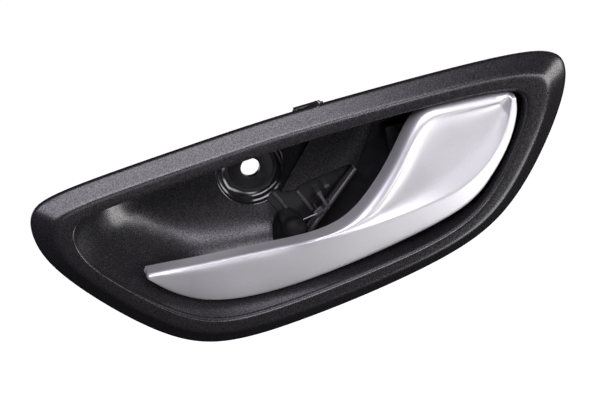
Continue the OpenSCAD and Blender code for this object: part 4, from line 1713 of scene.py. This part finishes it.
@dataclass(frozen=True)
class DressedNode:
    """A CAD node shown by a copy with softened edges and its finish."""

    node: str
    name: str
    body: Body
    slot: str
    finish: str
    bevel_mm: float = 0.25
    segments: int = 2
    sharp_above: float = 35

    def build(self, palette: Palette) -> None:
        """Builds the copy and puts it in place of its CAD node.

        Args:
            palette: the finishes.
        """
        obj = merged_copy(self.node, self.name)
        bevel = obj.modifiers.new("edges", "BEVEL")
        bevel.width = self.bevel_mm * MM
        bevel.segments = self.segments
        bevel.limit_method = "ANGLE"
        bevel.angle_limit = math.radians(self.sharp_above)
        bevel.use_clamp_overlap = True
        baked(obj)
        painted(obj, getattr(palette, self.finish))
        settled(obj, self.body, self.node, self.slot)


DRESSED = (
    DressedNode("carrier", "carrier_frame", Body.HOUSING, "carrier_black", "carrier", 0.3),
    DressedNode("lever_core", "lever_web", Body.LEVER, "core_black", "core", 0.12),
    DressedNode("pivot_pin", "hinge_pin", Body.HOUSING, "pin_steel", "pin", 0.2),
    DressedNode("pin_retainer", "hinge_pin_ring", Body.HOUSING, "spring_steel", "spring", 0.1),
    DressedNode("bush_upper", "flanged_bush_upper", Body.LEVER, "bush_plastic", "acetal", 0.12),
    DressedNode("bush_lower", "flanged_bush_lower", Body.LEVER, "bush_plastic", "acetal", 0.12),
    DressedNode("rest_buffer", "blade_rest_buffer", Body.HOUSING, "buffer_rubber", "rubber", 0.3),
    DressedNode("open_buffer", "crank_stop_buffer", Body.HOUSING, "buffer_rubber", "rubber", 0.3),
    DressedNode("cable_end_bush", "cable_eye_bush", Body.LEVER, "bush_plastic", "acetal", 0.15),
)


# ---------------------------------------------------------------- studio


@dataclass(frozen=True)
class Softbox:
    """A large area light aimed at a point."""

    name: str
    at: tuple[float, float, float]
    size: tuple[float, float]
    watts: float
    color: tuple[float, float, float] = (1.0, 1.0, 1.0)

    def build(self, target: Vector) -> None:
        """Makes the light.

        Args:
            target: the point it is aimed at.
        """
        data = bpy.data.lights.new(self.name, "AREA")
        data.shape = "RECTANGLE"
        data.size, data.size_y = self.size
        data.energy = self.watts
        data.color = self.color
        light = linked(self.name, data)
        light.location = self.at
        away = target - Vector(self.at)
        light.rotation_euler = away.to_track_quat("-Z", "Y").to_euler()


SOFTBOXES = (
    Softbox("key_top_box", (-0.023, -0.418, 0.683), (0.45, 0.35), 2.5, (0.93, 0.89, 1.0)),
    Softbox("key_left_box", (-0.376, -0.517, 0.483), (0.35, 0.35), 1.9, (0.91, 0.87, 1.0)),
    Softbox("front_high_box", (0.012, -0.65, 0.483), (0.45, 0.28), 2.8, (0.95, 0.92, 1.0)),
    Softbox("right_front_box", (0.687, -0.442, -0.094), (0.35, 0.3), 2.4, (1.0, 0.98, 0.97)),
    Softbox("right_mid_box", (0.482, -0.666, 0.032), (0.35, 0.12), 0.75, (1.0, 0.97, 0.99)),
    Softbox("right_low_box", (0.322, -0.341, -0.411), (0.26, 0.26), 1, (1.0, 0.98, 1.0)),
    Softbox("front_mid_box", (0.2, -0.836, 0.138), (0.17, 0.2), 0.75, (0.93, 0.88, 1.0)),
    Softbox("front_level_box", (-0.032, -0.869, -0.01), (0.25, 0.2), 0.3, (0.98, 0.96, 1.0)),
    Softbox("rear_low_box", (0.012, 0.753, -0.217), (0.5, 0.35), 1.2),
    Softbox("rear_left_box", (0.411, 0.671, -0.066), (0.4, 0.4), 1.3),
    Softbox("rear_right_box", (-0.446, 0.634, -0.066), (0.4, 0.4), 1.3),
)


@dataclass
class Studio:
    """Camera, floor, lights and surroundings."""

    target: tuple[float, float, float] = (0.0122, -0.020, -0.0095)
    azimuth: float = -8
    elevation: float = 23
    roll: float = 13.6
    distance: float = 0.7
    lens: float = 116.8
    sensor: float = 36
    near: float = 0.05
    far: float = 20
    floor_z: float = -0.53
    floor_half: float = 6

    def camera(self) -> None:
        """Makes the camera at the photo's viewing angle."""
        a, e, r = (math.radians(v) for v in (self.azimuth, self.elevation, self.roll))
        back = Vector((math.sin(a) * math.cos(e), -math.cos(a) * math.cos(e), math.sin(e)))
        level = Vector((math.cos(a), math.sin(a), 0))
        upright = back.cross(level)
        right = math.cos(r) * level - math.sin(r) * upright
        up = math.sin(r) * level + math.cos(r) * upright
        data = bpy.data.cameras.new("photo_view")
        data.lens, data.sensor_width = self.lens, self.sensor
        data.clip_start, data.clip_end = self.near, self.far
        cam = linked("photo_view", data)
        place = Vector(self.target) + back * self.distance
        cam.matrix_world = Matrix((
            (right.x, up.x, back.x, place.x), (right.y, up.y, back.y, place.y),
            (right.z, up.z, back.z, place.z), (0, 0, 0, 1)))
        bpy.context.scene.camera = cam

    def floor(self) -> None:
        """Makes the plain pale floor, with a little unevenness in its paint."""
        half = self.floor_half
        corners = [(x, y, self.floor_z)
                   for x, y in ((-half, -half), (half, -half), (half, half), (-half, half))]
        mesh = bpy.data.meshes.new("studio_floor")
        mesh.from_pydata(corners, [], [(0, 1, 2, 3)])
        floor = linked("studio_floor", mesh)
        s = Shader("pale_floor_paint")
        s.use("Base Color", s.blend(s.noise(3), (0.93, 0.93, 0.93), (0.96, 0.96, 0.96)))
        s.set(Roughness=0.8, Emission_Color=(1, 1, 1, 1), Emission_Strength=1.0)
        mesh.materials.append(s.material)
        floor.visible_glossy = False
        floor.visible_diffuse = False

    def lights(self) -> None:
        """Makes the softboxes and the plain surroundings."""
        for box in SOFTBOXES:
            box.build(Vector(self.target))
        world = bpy.data.worlds.new("studio_room")
        world.use_nodes = True
        white = world.node_tree.nodes["Background"].inputs
        white["Color"].default_value = (1, 1, 1, 1)
        white["Strength"].default_value = 1.0
        seen = world.cycles_visibility
        seen.diffuse = seen.glossy = seen.transmission = seen.scatter = False
        bpy.context.scene.world = world
        bpy.context.scene.view_settings.view_transform = "Standard"

    def build(self) -> None:
        """Builds the whole studio."""
        self.camera()
        self.floor()
        self.lights()


def main() -> None:
    """Builds every piece in order."""
    palette = Palette()
    bezel = Bezel()
    bezel.build(palette)
    LeverShell().build(palette)
    RimGussets().build(palette, bezel)
    Screws().build(palette)
    ReturnSpring().build(palette)
    PanelClips().build(palette)
    WindowDetail().build(palette)
    for item in DRESSED:
        item.build(palette)
    Studio().build()


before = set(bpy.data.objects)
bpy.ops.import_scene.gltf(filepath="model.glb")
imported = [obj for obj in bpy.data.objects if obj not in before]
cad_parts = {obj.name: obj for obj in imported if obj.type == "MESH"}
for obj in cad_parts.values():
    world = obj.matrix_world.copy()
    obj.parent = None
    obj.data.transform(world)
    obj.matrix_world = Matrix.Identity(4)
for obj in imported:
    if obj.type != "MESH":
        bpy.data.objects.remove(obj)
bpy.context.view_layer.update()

if __name__ == "__main__":
    logging.basicConfig(level=logging.INFO, format="%(name)s: %(message)s")
    main()
